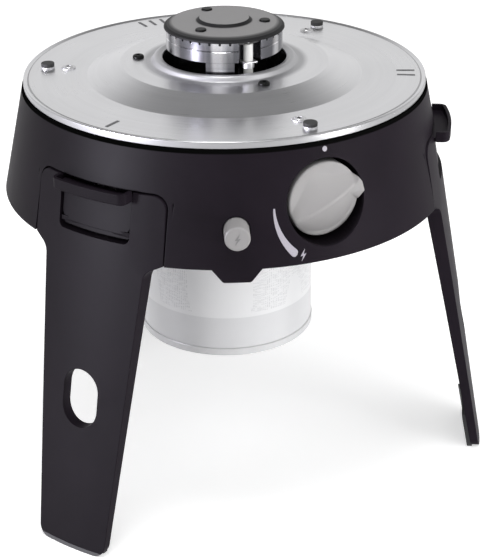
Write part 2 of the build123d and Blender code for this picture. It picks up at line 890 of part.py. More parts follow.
# Skirt
def socket_outline(side, top):
    """Outline of a leg's socket, grown by a side and a top allowance."""
    half_top = leg_top_half_width + leg_gap + side
    half_foot = leg_root_half_width + leg_gap + side
    high = leg_top_height + leg_gap + top
    low = skirt_foot_height - overrun
    corner = leg_top_corner + leg_gap
    points = [(-half_foot, low), (half_foot, low), (half_top, high), (-half_top, high)]
    return make_face(FilletPolyline(*points, radius=[0, 0, corner, corner], close=True))


def back_face_radius(height):
    """Radius of the pocket's back wall on its outer side."""
    return leg_radius(height) - leg_depth_top - pocket_back_gap


def cone_band(inner_foot, inner_top, outer_foot, outer_top, low, high):
    """Ring between two cones."""
    return turned([(inner_foot, low), (outer_foot, low), (outer_top, high), (inner_top, high)])


def pocket_block():
    """Walls round one leg's pocket, before the pocket is cut out."""
    low = skirt_foot_height
    high = leg_top_height + leg_gap + pocket_top_wall
    wall = pocket_back_wall
    band = cone_band(back_face_radius(low) - wall, back_face_radius(high) - wall,
                     skirt_radius(low) - overrun / 2, skirt_radius(high) - overrun / 2, low, high)
    outline = socket_outline(cheek_wall, pocket_top_wall)
    return band & outward_prism(outline, 0, skirt_foot_radius * 2)


def pocket_space():
    """Space in the skirt that one leg slides in."""
    low = skirt_foot_height - overrun
    high = leg_top_height + leg_gap + overrun
    band = cone_band(back_face_radius(low), back_face_radius(high),
                     skirt_foot_radius * 2, skirt_foot_radius * 2, low, high)
    space = band & outward_prism(socket_outline(0, 0), 0, skirt_foot_radius * 2)
    slot_half = nose_half_width + nose_slot_clearance
    slot_top = nose_foot_height + nose_thickness + nose_slot_clearance * 2
    slot = Pos(skirt_foot_radius - leg_depth_top, 0, (low + slot_top) / 2) * Box(
        leg_depth_top * 5, slot_half * 2, slot_top - low)
    space += slot
    grooves = [rail(side, rail_clearance, overrun * 2) for side in (-1, 1)]
    return space + grooves[0] + grooves[1]


def rail(side, clearance, extra):
    """Rail on one edge of a leg that runs in a groove of the pocket."""
    low = rail_foot_height - (rail_foot_height - skirt_foot_height + overrun) * (extra > 0)
    high = rail_top_height + extra
    out = rail_depth / 2 + clearance
    half = leg_root_half_width - overrun
    width = rail_width + clearance + leg_gap + overrun
    points = [
        (leg_radius(low) - rail_setback - out, low),
        (leg_radius(low) - rail_setback + out, low),
        (leg_radius(high) - rail_setback + out, high),
        (leg_radius(high) - rail_setback - out, high),
    ]
    face = make_face(Plane.XZ * Polyline(*points, close=True))
    bar = extrude(face, width, dir=(0, side, 0))
    return Pos(0, side * (half - leg_gap), 0) * bar


def make_skirt():
    low = skirt_foot_height
    high = skirt_top_height
    shelf = tray_under
    inner_top = upstand_radius - upstand_wall
    outside = [
        (skirt_foot_radius, low),
        (skirt_top_radius, high),
        (upstand_radius, high),
        (upstand_radius, shelf),
        (inner_top - shelf_width, shelf),
        (inner_top - shelf_width, shelf - shelf_thickness),
        (inner_top, shelf - shelf_thickness),
        (skirt_radius(high - skirt_wall) - skirt_wall, high - skirt_wall * 2),
        (skirt_foot_radius - skirt_wall, low),
    ]
    body = turned(outside)
    pockets = spread(pocket_block(), leg_angles)
    body += pockets
    body += knob_well_walls()
    body += igniter_place(skirt_tab())
    body += tray_bosses()
    body -= spread(pocket_space(), leg_angles)
    body -= knob_well_space()
    bore = piezo_sleeve_radius + button_clearance
    hole = outward_rod(skirt_top_radius / 2, skirt_foot_radius + button_length, bore, button_height)
    collar = outward_rod(skirt_top_radius / 2, skirt_foot_radius + button_length,
                         button_radius + button_clearance * 2, button_height)
    body -= igniter_place((hole & skirt_space(skirt_wall)) + collar)
    body -= through_holes(screw_circle_radius, screw_shank_radius)
    peg_room_foot = shelf - peg_stem_length - overrun
    peg_room = cylinder_at(peg_circle_radius, 0, peg_room_foot, high * 2, peg_clip_radius + overrun)
    return body - spread(peg_room, trio_angles)


def tray_bosses():
    """Three screw bosses under the tray, each on a web from the skirt."""
    top = tray_under
    foot = top - screw_boss_length
    boss = cylinder_at(screw_circle_radius, 0, foot, top, screw_boss_radius)
    reach = skirt_top_radius - upstand_wall - screw_circle_radius
    web = Pos(screw_circle_radius + reach / 2, 0, (top + foot) / 2) * Box(
        reach, boss_web_thickness, screw_boss_length)
    return spread(boss + web, trio_angles)


def skirt_tab():
    """Short tongue of the skirt below the igniter."""
    low = skirt_foot_height - tab_drop
    high = skirt_foot_height + tab_drop
    band = cone_band(skirt_radius(low) - skirt_wall, skirt_radius(high) - skirt_wall,
                     skirt_radius(low), skirt_radius(high), low, high)
    slope = (tab_half_width_top - tab_half_width_foot) / tab_drop
    wide = tab_half_width_top + slope * tab_drop
    points = [(-tab_half_width_foot, low), (tab_half_width_foot, low), (wide, high), (-wide, high)]
    corner = tab_corner_round
    outline = make_face(FilletPolyline(*points, radius=[corner, corner, 0, 0], close=True))
    return band & outward_prism(outline, 0, skirt_foot_radius * 2)


# Knob and its well, made on the -Y side
def frontward_rod(start, end, radius, height):
    plane = Plane((0, -start, height), x_dir=(1, 0, 0), z_dir=(0, -1, 0))
    return plane * extrude(Circle(radius), end - start)


def knob_well_walls():
    back = knob_well_floor_y - knob_well_floor_thickness
    rod = frontward_rod(back, skirt_foot_radius, knob_well_radius + knob_well_wall, knob_height)
    return rod & skirt_space(overrun / 2)


def knob_well_space():
    well = frontward_rod(knob_well_floor_y, skirt_foot_radius * 2, knob_well_radius, knob_height)
    bore = frontward_rod(skirt_top_radius / 2, skirt_foot_radius, spindle_radius + spindle_clearance * 3,
                         knob_height)
    return well + bore


def knob_frame():
    """Plane of the knob's face: X along the pointer, Z out of the front."""
    turn = math.radians(knob_pointer_angle)
    along = (math.cos(turn), 0, math.sin(turn))
    return Plane((0, 0, knob_height), x_dir=along, z_dir=(0, -1, 0))


def knob_outline():
    """Round outline with a beak on the lower side of the ridge's end."""
    beak_root = math.sqrt(knob_radius ** 2 - knob_beak_foot ** 2)
    beak_tip = math.sqrt((knob_radius + knob_beak_reach) ** 2 - knob_beak_drop ** 2)
    corners = [
        (0, knob_ridge_width),
        (0, -knob_beak_foot),
        (beak_root, -knob_beak_foot),
        (beak_tip, -knob_beak_drop),
        (knob_radius + knob_beak_reach / 2, -knob_beak_drop / 2),
        (knob_radius - knob_ridge_width / 2, knob_ridge_width),
    ]
    return Circle(knob_radius) + make_face(Polyline(*corners, close=True))


def knob_slope():
    """Space above the long slope on the lower side of the ridge."""
    edge = knob_ridge_width / 2
    points = [
        (-edge, knob_ridge_y),
        (-knob_radius, knob_rim_y),
        (-knob_radius * 2, knob_rim_y),
        (-knob_radius * 2, knob_ridge_y * 2),
        (-edge, knob_ridge_y * 2),
    ]
    return extrude(make_face(Plane.YZ * Polyline(*points, close=True)), knob_radius * 2, both=True)


def knob_scoop():
    """Space above the hollowed side of the ridge, which runs out level to the rim."""
    fall = knob_ridge_rise
    reach = math.sqrt(knob_scoop_radius ** 2 - (knob_scoop_radius - fall) ** 2)
    middle = knob_ridge_width / 2 + reach
    level = knob_rim_y + knob_scoop_radius
    hollow = extrude(Plane.YZ * Pos(middle, level) * Circle(knob_scoop_radius), knob_radius * 2, both=True)
    beyond = Pos(0, middle + knob_radius, level) * Box(knob_radius * 4, knob_radius * 2, knob_scoop_radius * 2)
    return hollow + beyond


def make_gas_knob():
    back = knob_well_floor_y + knob_floor_gap
    body = Pos(0, 0, back) * extrude(knob_outline(), knob_ridge_y - back)
    body -= knob_slope()
    body -= knob_scoop()
    bow = Pos(0, 0, knob_ridge_y - knob_bow_radius) * Rot(90, 0, 0) * Cylinder(knob_bow_radius, knob_radius * 4)
    body &= bow
    hollow = Circle(knob_radius - knob_shell_wall) - Circle(knob_hub_radius) + Circle(spindle_radius)
    shell_depth = knob_rim_y - knob_shell_wall * 2 - back
    body -= Pos(0, 0, back) * extrude(hollow, shell_depth)
    body -= Pos(0, 0, back) * extrude(Circle(spindle_radius), spindle_tip_y - back)
    return knob_frame() * body


def make_valve_spindle():
    return frontward_rod(valve_depth / 4, spindle_tip_y, spindle_radius, knob_height)


# Legs, made on the +X side and then turned to their places
def leg_outline():
    """Outline of a leg in (sideways, height), with the latch window in its top."""
    half = [
        (leg_foot_half_width, 0),
        (leg_shoulder_half_width, leg_shoulder_height),
        (leg_root_half_width, skirt_foot_height),
        (leg_top_half_width, leg_top_height),
        (window_half_width, leg_top_height),
        (window_half_width, window_foot_height),
    ]
    radii = [leg_foot_corner, leg_shoulder_round, 0, leg_top_corner, 0, window_corner]
    other = [(-side, height) for side, height in reversed(half)]
    return FilletPolyline(*half, *other, radius=radii + radii[::-1], close=True)


def leg_shell(outline, low, high):
    """Space between a leg's outer face and the inner edge of its flange."""
    band = cone_band(leg_radius(low) - leg_depth(low), leg_radius(high) - leg_depth(high),
                     leg_radius(low), leg_radius(high), low, high)
    return band & outward_prism(outline, 0, leg_foot_radius * 2)


def hole_outline(grow):
    half_straight = hole_half_length - hole_half_width
    slot = SlotCenterToCenter(half_straight * 2, (hole_half_width + grow) * 2)
    return Pos(0, hole_height) * Rot(0, 0, 90) * slot


def make_leg():
    low = foot_pad_thickness
    high = leg_top_height + overrun
    outline = leg_outline()
    solid = leg_shell(make_face(outline), low, high)
    inner = offset(make_face(outline), -leg_flange)
    inner -= Pos(0, low) * Rectangle(leg_root_half_width * 2, leg_flange * 2)
    inner -= hole_outline(hole_collar_wall)
    for share in leg_rib_shares:
        inner -= Pos(0, share * skirt_foot_height) * Rectangle(leg_root_half_width * 2, leg_rib_thickness)
    hollow = cone_band(leg_radius(low) / 2, leg_radius(high) / 2,
                       leg_radius(low) - leg_skin, leg_radius(high) - leg_skin, low, high)
    hollow &= outward_prism(inner, 0, leg_foot_radius * 2)
    leg = solid - hollow
    leg -= outward_prism(hole_outline(0), 0, leg_foot_radius * 2)
    leg += rail_bars()
    bosses = sideways_rod(window_half_width + leg_flange, latch_boss_radius)
    bosses -= sideways_rod(window_half_width, latch_boss_radius * 2)
    return leg + bosses - latch_pin(hole_clearance)


def rail_bars():
    """Rails that stand out from the two edges of a leg's top."""
    low = rail_foot_height
    high = rail_top_height
    bars = rail(-1, 0, 0) + rail(1, 0, 0)
    half = leg_root_half_width + rail_width
    keep = Pos(leg_radius(low), 0, (low + high) / 2) * Box(leg_foot_radius, half * 2, high - low)
    return bars & keep


def latch_pin_radius_place():
    """Distance of the latch pin from the burner axis."""
    return leg_radius(latch_pin_height) - latch_pin_setback


def sideways_rod(half_length, radius, grow=0.0):
    plane = Plane((latch_pin_radius_place(), -half_length, latch_pin_height), z_dir=(0, 1, 0))
    return plane * extrude(Circle(radius + grow), half_length * 2)


def latch_pin(grow):
    half = window_half_width + leg_flange
    return sideways_rod(half, latch_pin_radius, grow)


def make_foot_pad():
    """Rubber sole, the lowest slice of a leg's outline."""
    foot = leg_shell(make_face(leg_outline()), 0, foot_pad_thickness)
    return foot


def latch_face(height, setback=0.0):
    """Radius of the latch panel's face at a height, moved in by a setback."""
    return leg_radius(height) - latch_recess - setback


def latch_slice(low, high, front, back, corner):
    """Part of the latch's panel between two setbacks, with rounded lower corners."""
    half = window_half_width - latch_side_gap
    band = cone_band(latch_face(low, back), latch_face(high, back),
                     latch_face(low, front), latch_face(high, front), low, high)
    points = [(-half, low), (half, low), (half, high), (-half, high)]
    outline = make_face(FilletPolyline(*points, radius=[corner, corner, 0, 0], close=True))
    return band & outward_prism(outline, 0, skirt_foot_radius * 2)


def make_latch():
    half = window_half_width - latch_side_gap
    foot = latch_foot_height
    sill = foot + latch_ledge_height
    thickness = latch_panel_thickness
    panel = latch_slice(sill, lip_foot_height + lip_floor_rise / 2, 0, thickness, latch_panel_corner)
    step = latch_ledge_setback
    ledge = latch_slice(foot, sill + latch_panel_corner, step, step + thickness, latch_ledge_corner)
    barrel = sideways_rod(half, latch_barrel_radius)
    inner = latch_face(latch_pin_height, thickness)
    pin_radius = latch_pin_radius_place()
    web = Pos((pin_radius + inner) / 2, 0, latch_pin_height) * Box(
        inner - pin_radius + step, half * 2, latch_barrel_radius)
    latch = panel + ledge + barrel + web
    latch += latch_lip() + latch_nose()
    spring_half = latch_spring_half_length + latch_spring_gap
    gap = Pos(pin_radius, 0, latch_pin_height) * Box(
        latch_barrel_radius * 4, spring_half * 2, latch_barrel_radius * 3)
    limit = inner - step
    latch -= gap & cone_band(0, 0, limit, limit, 0, tray_height)
    return latch - latch_pin(latch_pin_clearance)


def lip_plan(root, inset):
    """Plan of the lip from a root radius outwards, bowed and with rounded front corners."""
    tip = leg_radius(lip_foot_height) + lip_reach - inset
    half = lip_half_width - inset
    strip = Pos(tip / 2, 0) * Rectangle(tip * 2, half * 2)
    plan = (Circle(tip) - Circle(root)) & Pos(tip, 0) * strip
    corners = plan.vertices().sort_by(Axis.X)
    front = [corner for corner in corners if corner.X ** 2 + corner.Y ** 2 > (root + lip_wall) ** 2]
    return fillet(front, lip_corner - inset)


def latch_lip():
    """Finger pull: a bowed tray that stands out of the window, open at the top."""
    root = leg_radius(lip_foot_height) + lip_standoff
    back = latch_face(lip_foot_height, latch_panel_thickness)
    block = Pos(0, 0, lip_foot_height) * extrude(lip_plan(root, 0), lip_height)
    block = chamfer(block.edges().group_by(Axis.Z)[0], lip_round / 2)
    rear = (Circle(root + lip_wall) - Circle(back)) & Pos(root, 0) * Rectangle(
        root, (window_half_width - latch_side_gap) * 2)
    neck = Pos(0, 0, lip_foot_height) * extrude(rear, lip_floor_rise)
    scoop = Pos(0, 0, lip_floor_height) * extrude(lip_plan(back - lip_wall, lip_wall), lip_height)
    return block + neck - scoop


def latch_nose():
    """Nose behind the panel that holds in the slot of the pocket."""
    high = nose_foot_height + nose_thickness
    tip_low = back_face_radius(nose_foot_height) - nose_bite
    inner = latch_face(nose_foot_height, latch_panel_thickness / 2)
    band = cone_band(tip_low, tip_low, inner, inner, nose_foot_height, high)
    outline = Pos(0, (high + nose_foot_height) / 2) * Rectangle(nose_half_width * 2, nose_thickness)
    return band & outward_prism(outline, 0, inner * 2)


def make_latch_spring():
    """Closed sleeve of the torsion spring round the latch pin."""
    sleeve = sideways_rod(latch_spring_half_length, latch_spring_radius)
    return sleeve - latch_pin(latch_pin_clearance / 2)


# Gas cartridge
def can_profile(inset):
    """Side, shoulder and dome of the can, moved in by an inset."""
    low = can_foot_height + can_base_rim_height
    return [
        (0, low + inset),
        (can_radius - inset, low + inset),
        (can_radius - inset, can_shoulder_height - inset / 2),
        (can_dome_radius + cup_radius, can_dome_height - cup_bead_radius * 2 - inset),
        (cup_radius, can_dome_height - inset),
        (0, can_dome_height - inset),
    ]


def make_cartridge_can():
    radii = [0, 0, cup_radius, can_dome_radius, 0, 0]
    return turned(can_profile(0), radii) - turned(can_profile(can_sheet), radii)


def make_cartridge_base():
    low = can_foot_height
    high = low + can_base_rim_height
    outer = can_radius + can_base_rim_proud
    inner = can_radius - can_base_recess
    points = [
        (0, high),
        (0, low + can_base_recess),
        (inner, low + can_base_recess),
        (inner + can_base_recess / 2, low),
        (outer, low),
        (outer, high),
    ]
    round_size = can_base_rim_proud
    return turned(points, [0, 0, round_size, round_size, round_size, round_size])


def make_cartridge_valve():
    seat = can_dome_height
    cup = cup_radius
    points = [
        (0, seat),
        (cup, seat),
        (cup, cup_height),
        (cup - cup_bead_radius * 2, cup_height),
        (cup - cup_bead_radius * 2, cup_height - cup_bead_radius),
        (stub_radius, cup_height - cup_bead_radius),
        (stub_radius, stub_height),
        (0, stub_height),
    ]
    bead = cup_bead_radius * 0.8
    return turned(points, [0, 0, bead, bead, 0, 0, stub_radius / 6, 0])


def make_all():
    """Every named piece of the grill, in the burner's own frame."""
    pieces = {
        "body_skirt": make_skirt(),
        "top_tray": make_tray(),
        "tray_screws": make_tray_screws(),
        "pan_peg_ferrules": make_peg_ferrules(),
        "pan_peg_pads": make_peg_pads(),
        "bracket_screws": make_bracket_screws(),
        "bracket_nuts": make_bracket_nuts(),
        "burner_well": make_burner_well(),
        "burner_ring": make_burner_ring(),
        "burner_cap": make_burner_cap(),
        "cap_studs": make_cap_studs(),
        "mixing_tube": make_mixing_tube(),
        "gas_jet": make_gas_jet(),
        "valve_body": make_valve_body(),
        "connector_seal": make_connector_seal(),
        "gland_nut": make_gland_nut(),
        "valve_bracket": make_valve_bracket(),
        "valve_bracket_rivets": make_bracket_rivets(),
        "electrode_ceramic": make_electrode_ceramic(),
        "electrode_rod": make_electrode_rod(),
        "electrode_clip": make_electrode_clip(),
        "ignition_lead": make_ignition_lead(),
        "piezo_body": make_piezo_body(),
        "piezo_nut": make_piezo_nut(),
        "igniter_button": make_igniter_button(),
        "gas_knob": make_gas_knob(),
        "valve_spindle": make_valve_spindle(),
        "cartridge_can": make_cartridge_can(),
        "cartridge_base": make_cartridge_base(),
        "cartridge_valve": make_cartridge_valve(),
    }
    leg_set = {
        "leg": make_leg(),
        "foot_pad": make_foot_pad(),
        "latch": make_latch(),
        "latch_pin": latch_pin(0),
        "latch_spring": make_latch_spring(),
    }
    for number, angle in enumerate(leg_angles, start=1):
        for name, shape in leg_set.items():
            pieces[f"{name}_{number}"] = Rot(0, 0, angle) * shape
    return pieces


pieces = make_all()
whole = Compound(children=[solid for shape in pieces.values() for solid in shape.solids()])
box = whole.bounding_box()
to_origin = Pos(-(box.min.X + box.max.X) / 2, -(box.min.Y + box.max.Y) / 2, -box.min.Z)
for name, shape in pieces.items():
    export_step(to_origin * shape, f"parts/{name}.step")
print("size", box.size, "burner axis at", to_origin.position)
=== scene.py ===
import json
import math

import bmesh
import bpy
from mathutils import Matrix, Vector


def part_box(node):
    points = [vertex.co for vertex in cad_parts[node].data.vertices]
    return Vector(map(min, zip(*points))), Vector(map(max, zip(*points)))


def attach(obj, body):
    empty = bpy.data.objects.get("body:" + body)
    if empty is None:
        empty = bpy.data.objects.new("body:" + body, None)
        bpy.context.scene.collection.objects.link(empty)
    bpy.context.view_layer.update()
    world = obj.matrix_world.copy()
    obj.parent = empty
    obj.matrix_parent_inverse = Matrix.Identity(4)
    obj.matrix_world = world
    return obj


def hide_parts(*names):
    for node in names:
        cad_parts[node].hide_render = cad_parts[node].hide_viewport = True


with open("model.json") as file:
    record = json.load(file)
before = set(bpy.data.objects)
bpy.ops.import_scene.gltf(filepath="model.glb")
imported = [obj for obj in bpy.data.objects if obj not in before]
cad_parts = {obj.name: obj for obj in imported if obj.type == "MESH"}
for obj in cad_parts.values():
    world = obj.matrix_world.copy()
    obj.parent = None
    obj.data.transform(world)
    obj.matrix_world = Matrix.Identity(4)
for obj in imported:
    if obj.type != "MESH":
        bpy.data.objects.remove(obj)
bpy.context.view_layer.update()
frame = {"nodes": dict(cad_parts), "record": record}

# Places on the object in metres, read from the frame where a node gives them

tray_low, tray_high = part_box("top_tray")
axis_x = (tray_low[0] + tray_high[0]) / 2
axis_y = (tray_low[1] + tray_high[1]) / 2
can_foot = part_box("cartridge_base")[0][2]

skirt_foot_radius = 0.150
skirt_foot_height = 0.1994
skirt_top_radius = 0.1344
skirt_top_height = 0.2706
skirt_slope = (skirt_top_radius - skirt_foot_radius) / (skirt_top_height - skirt_foot_height)
tray_plane = 0.2746
knob_height = 0.2342
button_face_radius = 0.15703
button_height = 0.2230
button_turn = math.radians(246.8)

# Places where a finish changes over a piece, and how softly it does, painted shade among them

# Painted shade in the knob's well and in the gap under the tray's rim
knob_well_edge = 0.0268
knob_well_blur = 0.0004
knob_well_shallow = 0.0004
knob_well_deep = 0.0030
rim_gap_foot = 0.2680
rim_gap_blur = 0.0004
# Where the tray turns darker and rougher near the burner
collar_tone_edge = 0.0560
collar_tone_blur = 0.004
# Painted shade in the tray's groove and on its rim's side
groove_inner = 0.1298
groove_outer = 0.1307
rim_side = 0.1331
rim_side_blur = 0.0003
# Painted shade on the wall of the cap's disc, on its shoulder and on its side
disc_wall_radius = 0.0192
disc_wall_foot = 0.30925
disc_wall_full = 0.30955
disc_wall_top = 0.31120
cap_shoulder_start = 0.0340
cap_shoulder_end = 0.0366
cap_side_start = 0.0378
cap_side_end = 0.0394
label_foot = can_foot + 0.0286
label_blur = 0.0003
stroke_margin = 0.003
stroke_columns = 260.0
stroke_strength = 0.45

# Camera, fitted to the photograph

photo_width = 483
photo_height = 560
camera_azimuth = math.radians(-25.641)
camera_elevation = math.radians(25.527)
camera_distance = 1.08466
camera_target_height = 0.13809
camera_yaw = math.radians(0.554)
camera_pitch = math.radians(-0.943)
camera_roll = math.radians(-0.286)
focal_pixels = 1533.752
sensor_height = 36.0


class Field:
    """A shader value. Sums, products and comparisons written with it add Math nodes."""

    def __init__(self, finish, socket):
        self.finish = finish
        self.socket = socket

    def maths(self, operation, *values):
        return self.finish.maths(operation, *values)

    def __add__(self, other):
        return self.maths("ADD", self, other)

    __radd__ = __add__

    def __mul__(self, other):
        return self.maths("MULTIPLY", self, other)

    __rmul__ = __mul__

    def __sub__(self, other):
        return self.maths("SUBTRACT", self, other)

    def __rsub__(self, other):
        return self.maths("SUBTRACT", other, self)

    def __gt__(self, other):
        return self.maths("GREATER_THAN", self, other)

    def __lt__(self, other):
        return self.maths("LESS_THAN", self, other)

    def swing(self, width):
        """A noise between 0 and 1 as a swing of this width, half of it on either side of 0."""
        return (self - 0.5) * width


class Finish:
    """One material, built from a principled shader and the fields that vary over it."""

    # A Mix node's colour sockets share their names with its other sockets, so they go by number
    mix_share, mix_first, mix_second, mix_result = 0, 6, 7, 2
    # Black for painted shade in gaps and wells
    painted_shade_black = (0.003, 0.003, 0.003)

    def __init__(self, name, **constants):
        self.material = bpy.data.materials.new(name)
        self.material.use_nodes = True
        self.nodes = self.material.node_tree.nodes
        self.links = self.material.node_tree.links
        self.nodes.clear()
        self.shader = self.add("ShaderNodeBsdfPrincipled")
        self.output = self.add("ShaderNodeOutputMaterial")
        self.links.new(self.shader.outputs["BSDF"], self.output.inputs["Surface"])
        for socket, value in constants.items():
            self.feed(self.shader.inputs[socket.replace("_", " ")], value)

    def add(self, kind, settings=None, sockets=None):
        node = self.nodes.new(kind)
        for name, value in (settings or {}).items():
            setattr(node, name, value)
        for name, value in (sockets or {}).items():
            self.feed(node.inputs[name], value)
        return node

    def feed(self, socket, value):
        if isinstance(value, Field):
            self.links.new(value.socket, socket)
        elif isinstance(value, (tuple, list)) and len(value) == 3 and len(socket.default_value) == 4:
            socket.default_value = (*value, 1)
        else:
            socket.default_value = value

    def field(self, node, output=0):
        return Field(self, node.outputs[output])

    def maths(self, operation, *values):
        node = self.add("ShaderNodeMath", {"operation": operation})
        for socket, value in zip(node.inputs, values):
            self.feed(socket, value)
        return self.field(node)

    def length(self, across, along):
        return self.maths("SQRT", across * across + along * along)

    def place(self):
        """Where the point is on the whole object, in metres."""
        return self.field(self.add("ShaderNodeTexCoord"), "Object")

    def split(self, vector):
        node = self.add("ShaderNodeSeparateXYZ", sockets={"Vector": vector})
        return [self.field(node, axis) for axis in "XYZ"]

    def join(self, x, y, z):
        return self.field(self.add("ShaderNodeCombineXYZ", sockets={"X": x, "Y": y, "Z": z}))

    def noise(self, vector, scale, detail=3.0, roughness=0.55):
        return self.field(self.add("ShaderNodeTexNoise", sockets={
            "Vector": vector, "Scale": scale, "Detail": detail, "Roughness": roughness}), "Fac")

    def blend(self, share, first, second):
        node = self.add("ShaderNodeMix", {"data_type": "RGBA", "clamp_factor": True})
        self.feed(node.inputs[self.mix_share], share)
        self.feed(node.inputs[self.mix_first], first)
        self.feed(node.inputs[self.mix_second], second)
        return self.field(node, self.mix_result)

    def clamped(self, value):
        return self.field(self.add("ShaderNodeClamp", sockets={"Value": value}))

    def fade(self, value, start, end):
        """Goes from 0 to 1 as the value goes from start to end."""
        return self.field(self.add("ShaderNodeMapRange", {"clamp": True}, {
            "Value": value, "From Min": start, "From Max": end, "To Min": 0.0, "To Max": 1.0}))

    def colour(self, value):
        self.feed(self.shader.inputs["Base Color"], value)

    def roughness(self, value):
        self.feed(self.shader.inputs["Roughness"], value)

    def paint_shade(self, share):
        """Paints shade: lets the surface fall to a flat black by a share, as in a deep gap."""
        black = self.add("ShaderNodeBsdfDiffuse", sockets={"Color": self.painted_shade_black})
        both = self.add("ShaderNodeMixShader", sockets={"Fac": share})
        self.links.new(self.shader.outputs["BSDF"], both.inputs[1])
        self.links.new(black.outputs["BSDF"], both.inputs[2])
        self.links.new(both.outputs["Shader"], self.output.inputs["Surface"])

    def relief(self, height, depth, strength, edge=0.0):
        """Bumps of a depth in metres, on edges that look rounded by a radius."""
        bump = self.add("ShaderNodeBump", sockets={
            "Height": height, "Distance": depth, "Strength": strength})
        if edge:
            bevel = self.add("ShaderNodeBevel", {"samples": 6}, {"Radius": edge})
            self.links.new(bevel.outputs["Normal"], bump.inputs["Normal"])
        self.links.new(bump.outputs["Normal"], self.shader.inputs["Normal"])


def from_axis(finish):
    """Radius from the burner's axis, turn round it, and height."""
    x, y, z = finish.split(finish.place())
    across = x - axis_x
    along = y - axis_y
    return finish.length(across, along), finish.maths("ARCTAN2", along, across), z


def moulded_plastic(name, colour, paler, roughness, grain_depth, edge, index=1.45, shade=None):
    """Moulded plastic: a fine spark-eroded grain, with soft handling marks in its gloss."""
    finish = Finish(name, IOR=index)
    place = finish.place()
    cloud = finish.noise(place, scale=28.0, detail=4.0)
    grain = finish.noise(place, scale=2600.0, detail=2.0)
    finish.colour(finish.blend(finish.fade(cloud, 0.3, 0.75), colour, paler))
    # Painted shade, by the share that a shade mask gives
    if shade:
        finish.paint_shade(shade(finish))
    finish.roughness(roughness + cloud.swing(0.10) + grain.swing(0.06))
    finish.relief(grain, depth=grain_depth, strength=0.35, edge=edge)
    return finish.material


def skirt_shade(finish):
    """Share of painted shade in the knob's well and in the gap under the tray's rim."""
    x, y, z = finish.split(finish.place())
    across = x - axis_x
    along = y - axis_y
    # Painted shade: deep in the knob's well, and in a band just under the tray's rim
    from_knob = finish.length(across, z - knob_height)
    inside = finish.fade(from_knob, knob_well_edge, knob_well_edge - knob_well_blur)
    cone_radius = skirt_foot_radius + (z - skirt_foot_height) * skirt_slope
    sunk = cone_radius - finish.length(across, along)
    well = inside * finish.fade(sunk, knob_well_shallow, knob_well_deep) * (along < 0.0)
    return finish.clamped(well + finish.fade(z, rim_gap_foot, rim_gap_foot + rim_gap_blur))


def plain_metal(name, colour, roughness, grain_scale=900.0, depth=0.00002, edge=0.0002):
    """Bare or plated metal with a faint even texture."""
    dark_share = 0.86
    finish = Finish(name, Metallic=1.0)
    place = finish.place()
    cloud = finish.noise(place, scale=60.0)
    grain = finish.noise(place, scale=grain_scale, detail=2.0)
    darker = tuple(part * dark_share for part in colour)
    finish.colour(finish.blend(finish.fade(cloud, 0.3, 0.7), darker, colour))
    finish.roughness(roughness + cloud.swing(0.12))
    finish.relief(grain, depth=depth, strength=0.3, edge=edge)
    return finish.material


def spun_tray():
    """Pressed steel with polishing rings, duller and darker near the burner, with painted shade in its
    groove and on its side.
    """
    dull, bright = (0.56, 0.56, 0.57), (0.70, 0.70, 0.715)
    collar_grey, shaded = (0.36, 0.36, 0.372), (0.10, 0.10, 0.105)
    fine_smear, wide_smear = 0.0006, 0.002
    finish = Finish("spun steel tray", Metallic=1.0)
    radius, turn, _ = from_axis(finish)
    rings = finish.noise(finish.join(radius, turn * fine_smear, 0.0), scale=2400.0, roughness=0.6)
    wide_rings = finish.noise(finish.join(radius, turn * wide_smear, 0.0), scale=260.0, detail=2.0)
    cloud = finish.noise(finish.place(), scale=22.0, detail=4.0)
    bare = finish.blend(finish.clamped(rings.swing(0.7) + wide_rings.swing(0.5) + 0.5), dull, bright)
    collar_tone = finish.fade(radius, collar_tone_edge, collar_tone_edge - collar_tone_blur)
    bare = finish.blend(collar_tone * 0.75, bare, collar_grey)
    # Painted shade in the groove and on the rim's side
    groove = (radius > groove_inner) * (radius < groove_outer) * 0.5
    side = finish.fade(radius, rim_side, rim_side + rim_side_blur) * 0.55
    finish.colour(finish.blend(finish.clamped(groove + side), bare, shaded))
    finish.roughness(0.30 + rings.swing(0.12) + cloud.swing(0.10) + collar_tone * 0.14)
    finish.relief(rings, depth=0.00003, strength=0.25, edge=0.0003)
    return finish.material


def burner_chrome():
    """Bright burner ring: slightly cloudy metal, with dark streaks round it and up it."""
    bright, cloudy, dark = (0.72, 0.72, 0.75), (0.62, 0.60, 0.59), (0.17, 0.17, 0.185)
    streaks_round, streaks_up = 2.6, 4.0
    finish = Finish("bright burner metal", Metallic=1.0)
    place = finish.place()
    _, turn, height = from_axis(finish)
    cloud = finish.noise(place, scale=120.0)
    streak_place = finish.join(turn * streaks_round, height * streaks_up, 0.0)
    streak = finish.noise(streak_place, scale=1.0, detail=2.0)
    metal = finish.blend(finish.fade(cloud, 0.35, 0.8), bright, cloudy)
    finish.colour(finish.blend(finish.fade(streak, 0.36, 0.50), metal, dark))
    finish.roughness(0.20 + cloud.swing(0.08))
    finish.relief(finish.noise(place, scale=700.0, detail=2.0), depth=0.00002, strength=0.2, edge=0.0003)
    return finish.material


def speckled(finish, colour, paler):
    """A sprayed coat's speckle, its cloudiness, and the colour that the two give."""
    place = finish.place()
    speckle = finish.noise(place, scale=1500.0)
    cloud = finish.noise(place, scale=70.0)
    return speckle, cloud, finish.blend(finish.clamped(speckle * 0.5 + cloud * 0.5), colour, paler)


def matte_coat(name, colour, paler, roughness, speck_depth, index=1.45):
    """Matte enamel or black coating with a fine speckle."""
    finish = Finish(name, IOR=index)
    speckle, cloud, tone = speckled(finish, colour, paler)
    finish.colour(tone)
    finish.roughness(roughness + cloud.swing(0.12))
    finish.relief(speckle, depth=speck_depth, strength=0.3, edge=0.0003)
    return finish.material


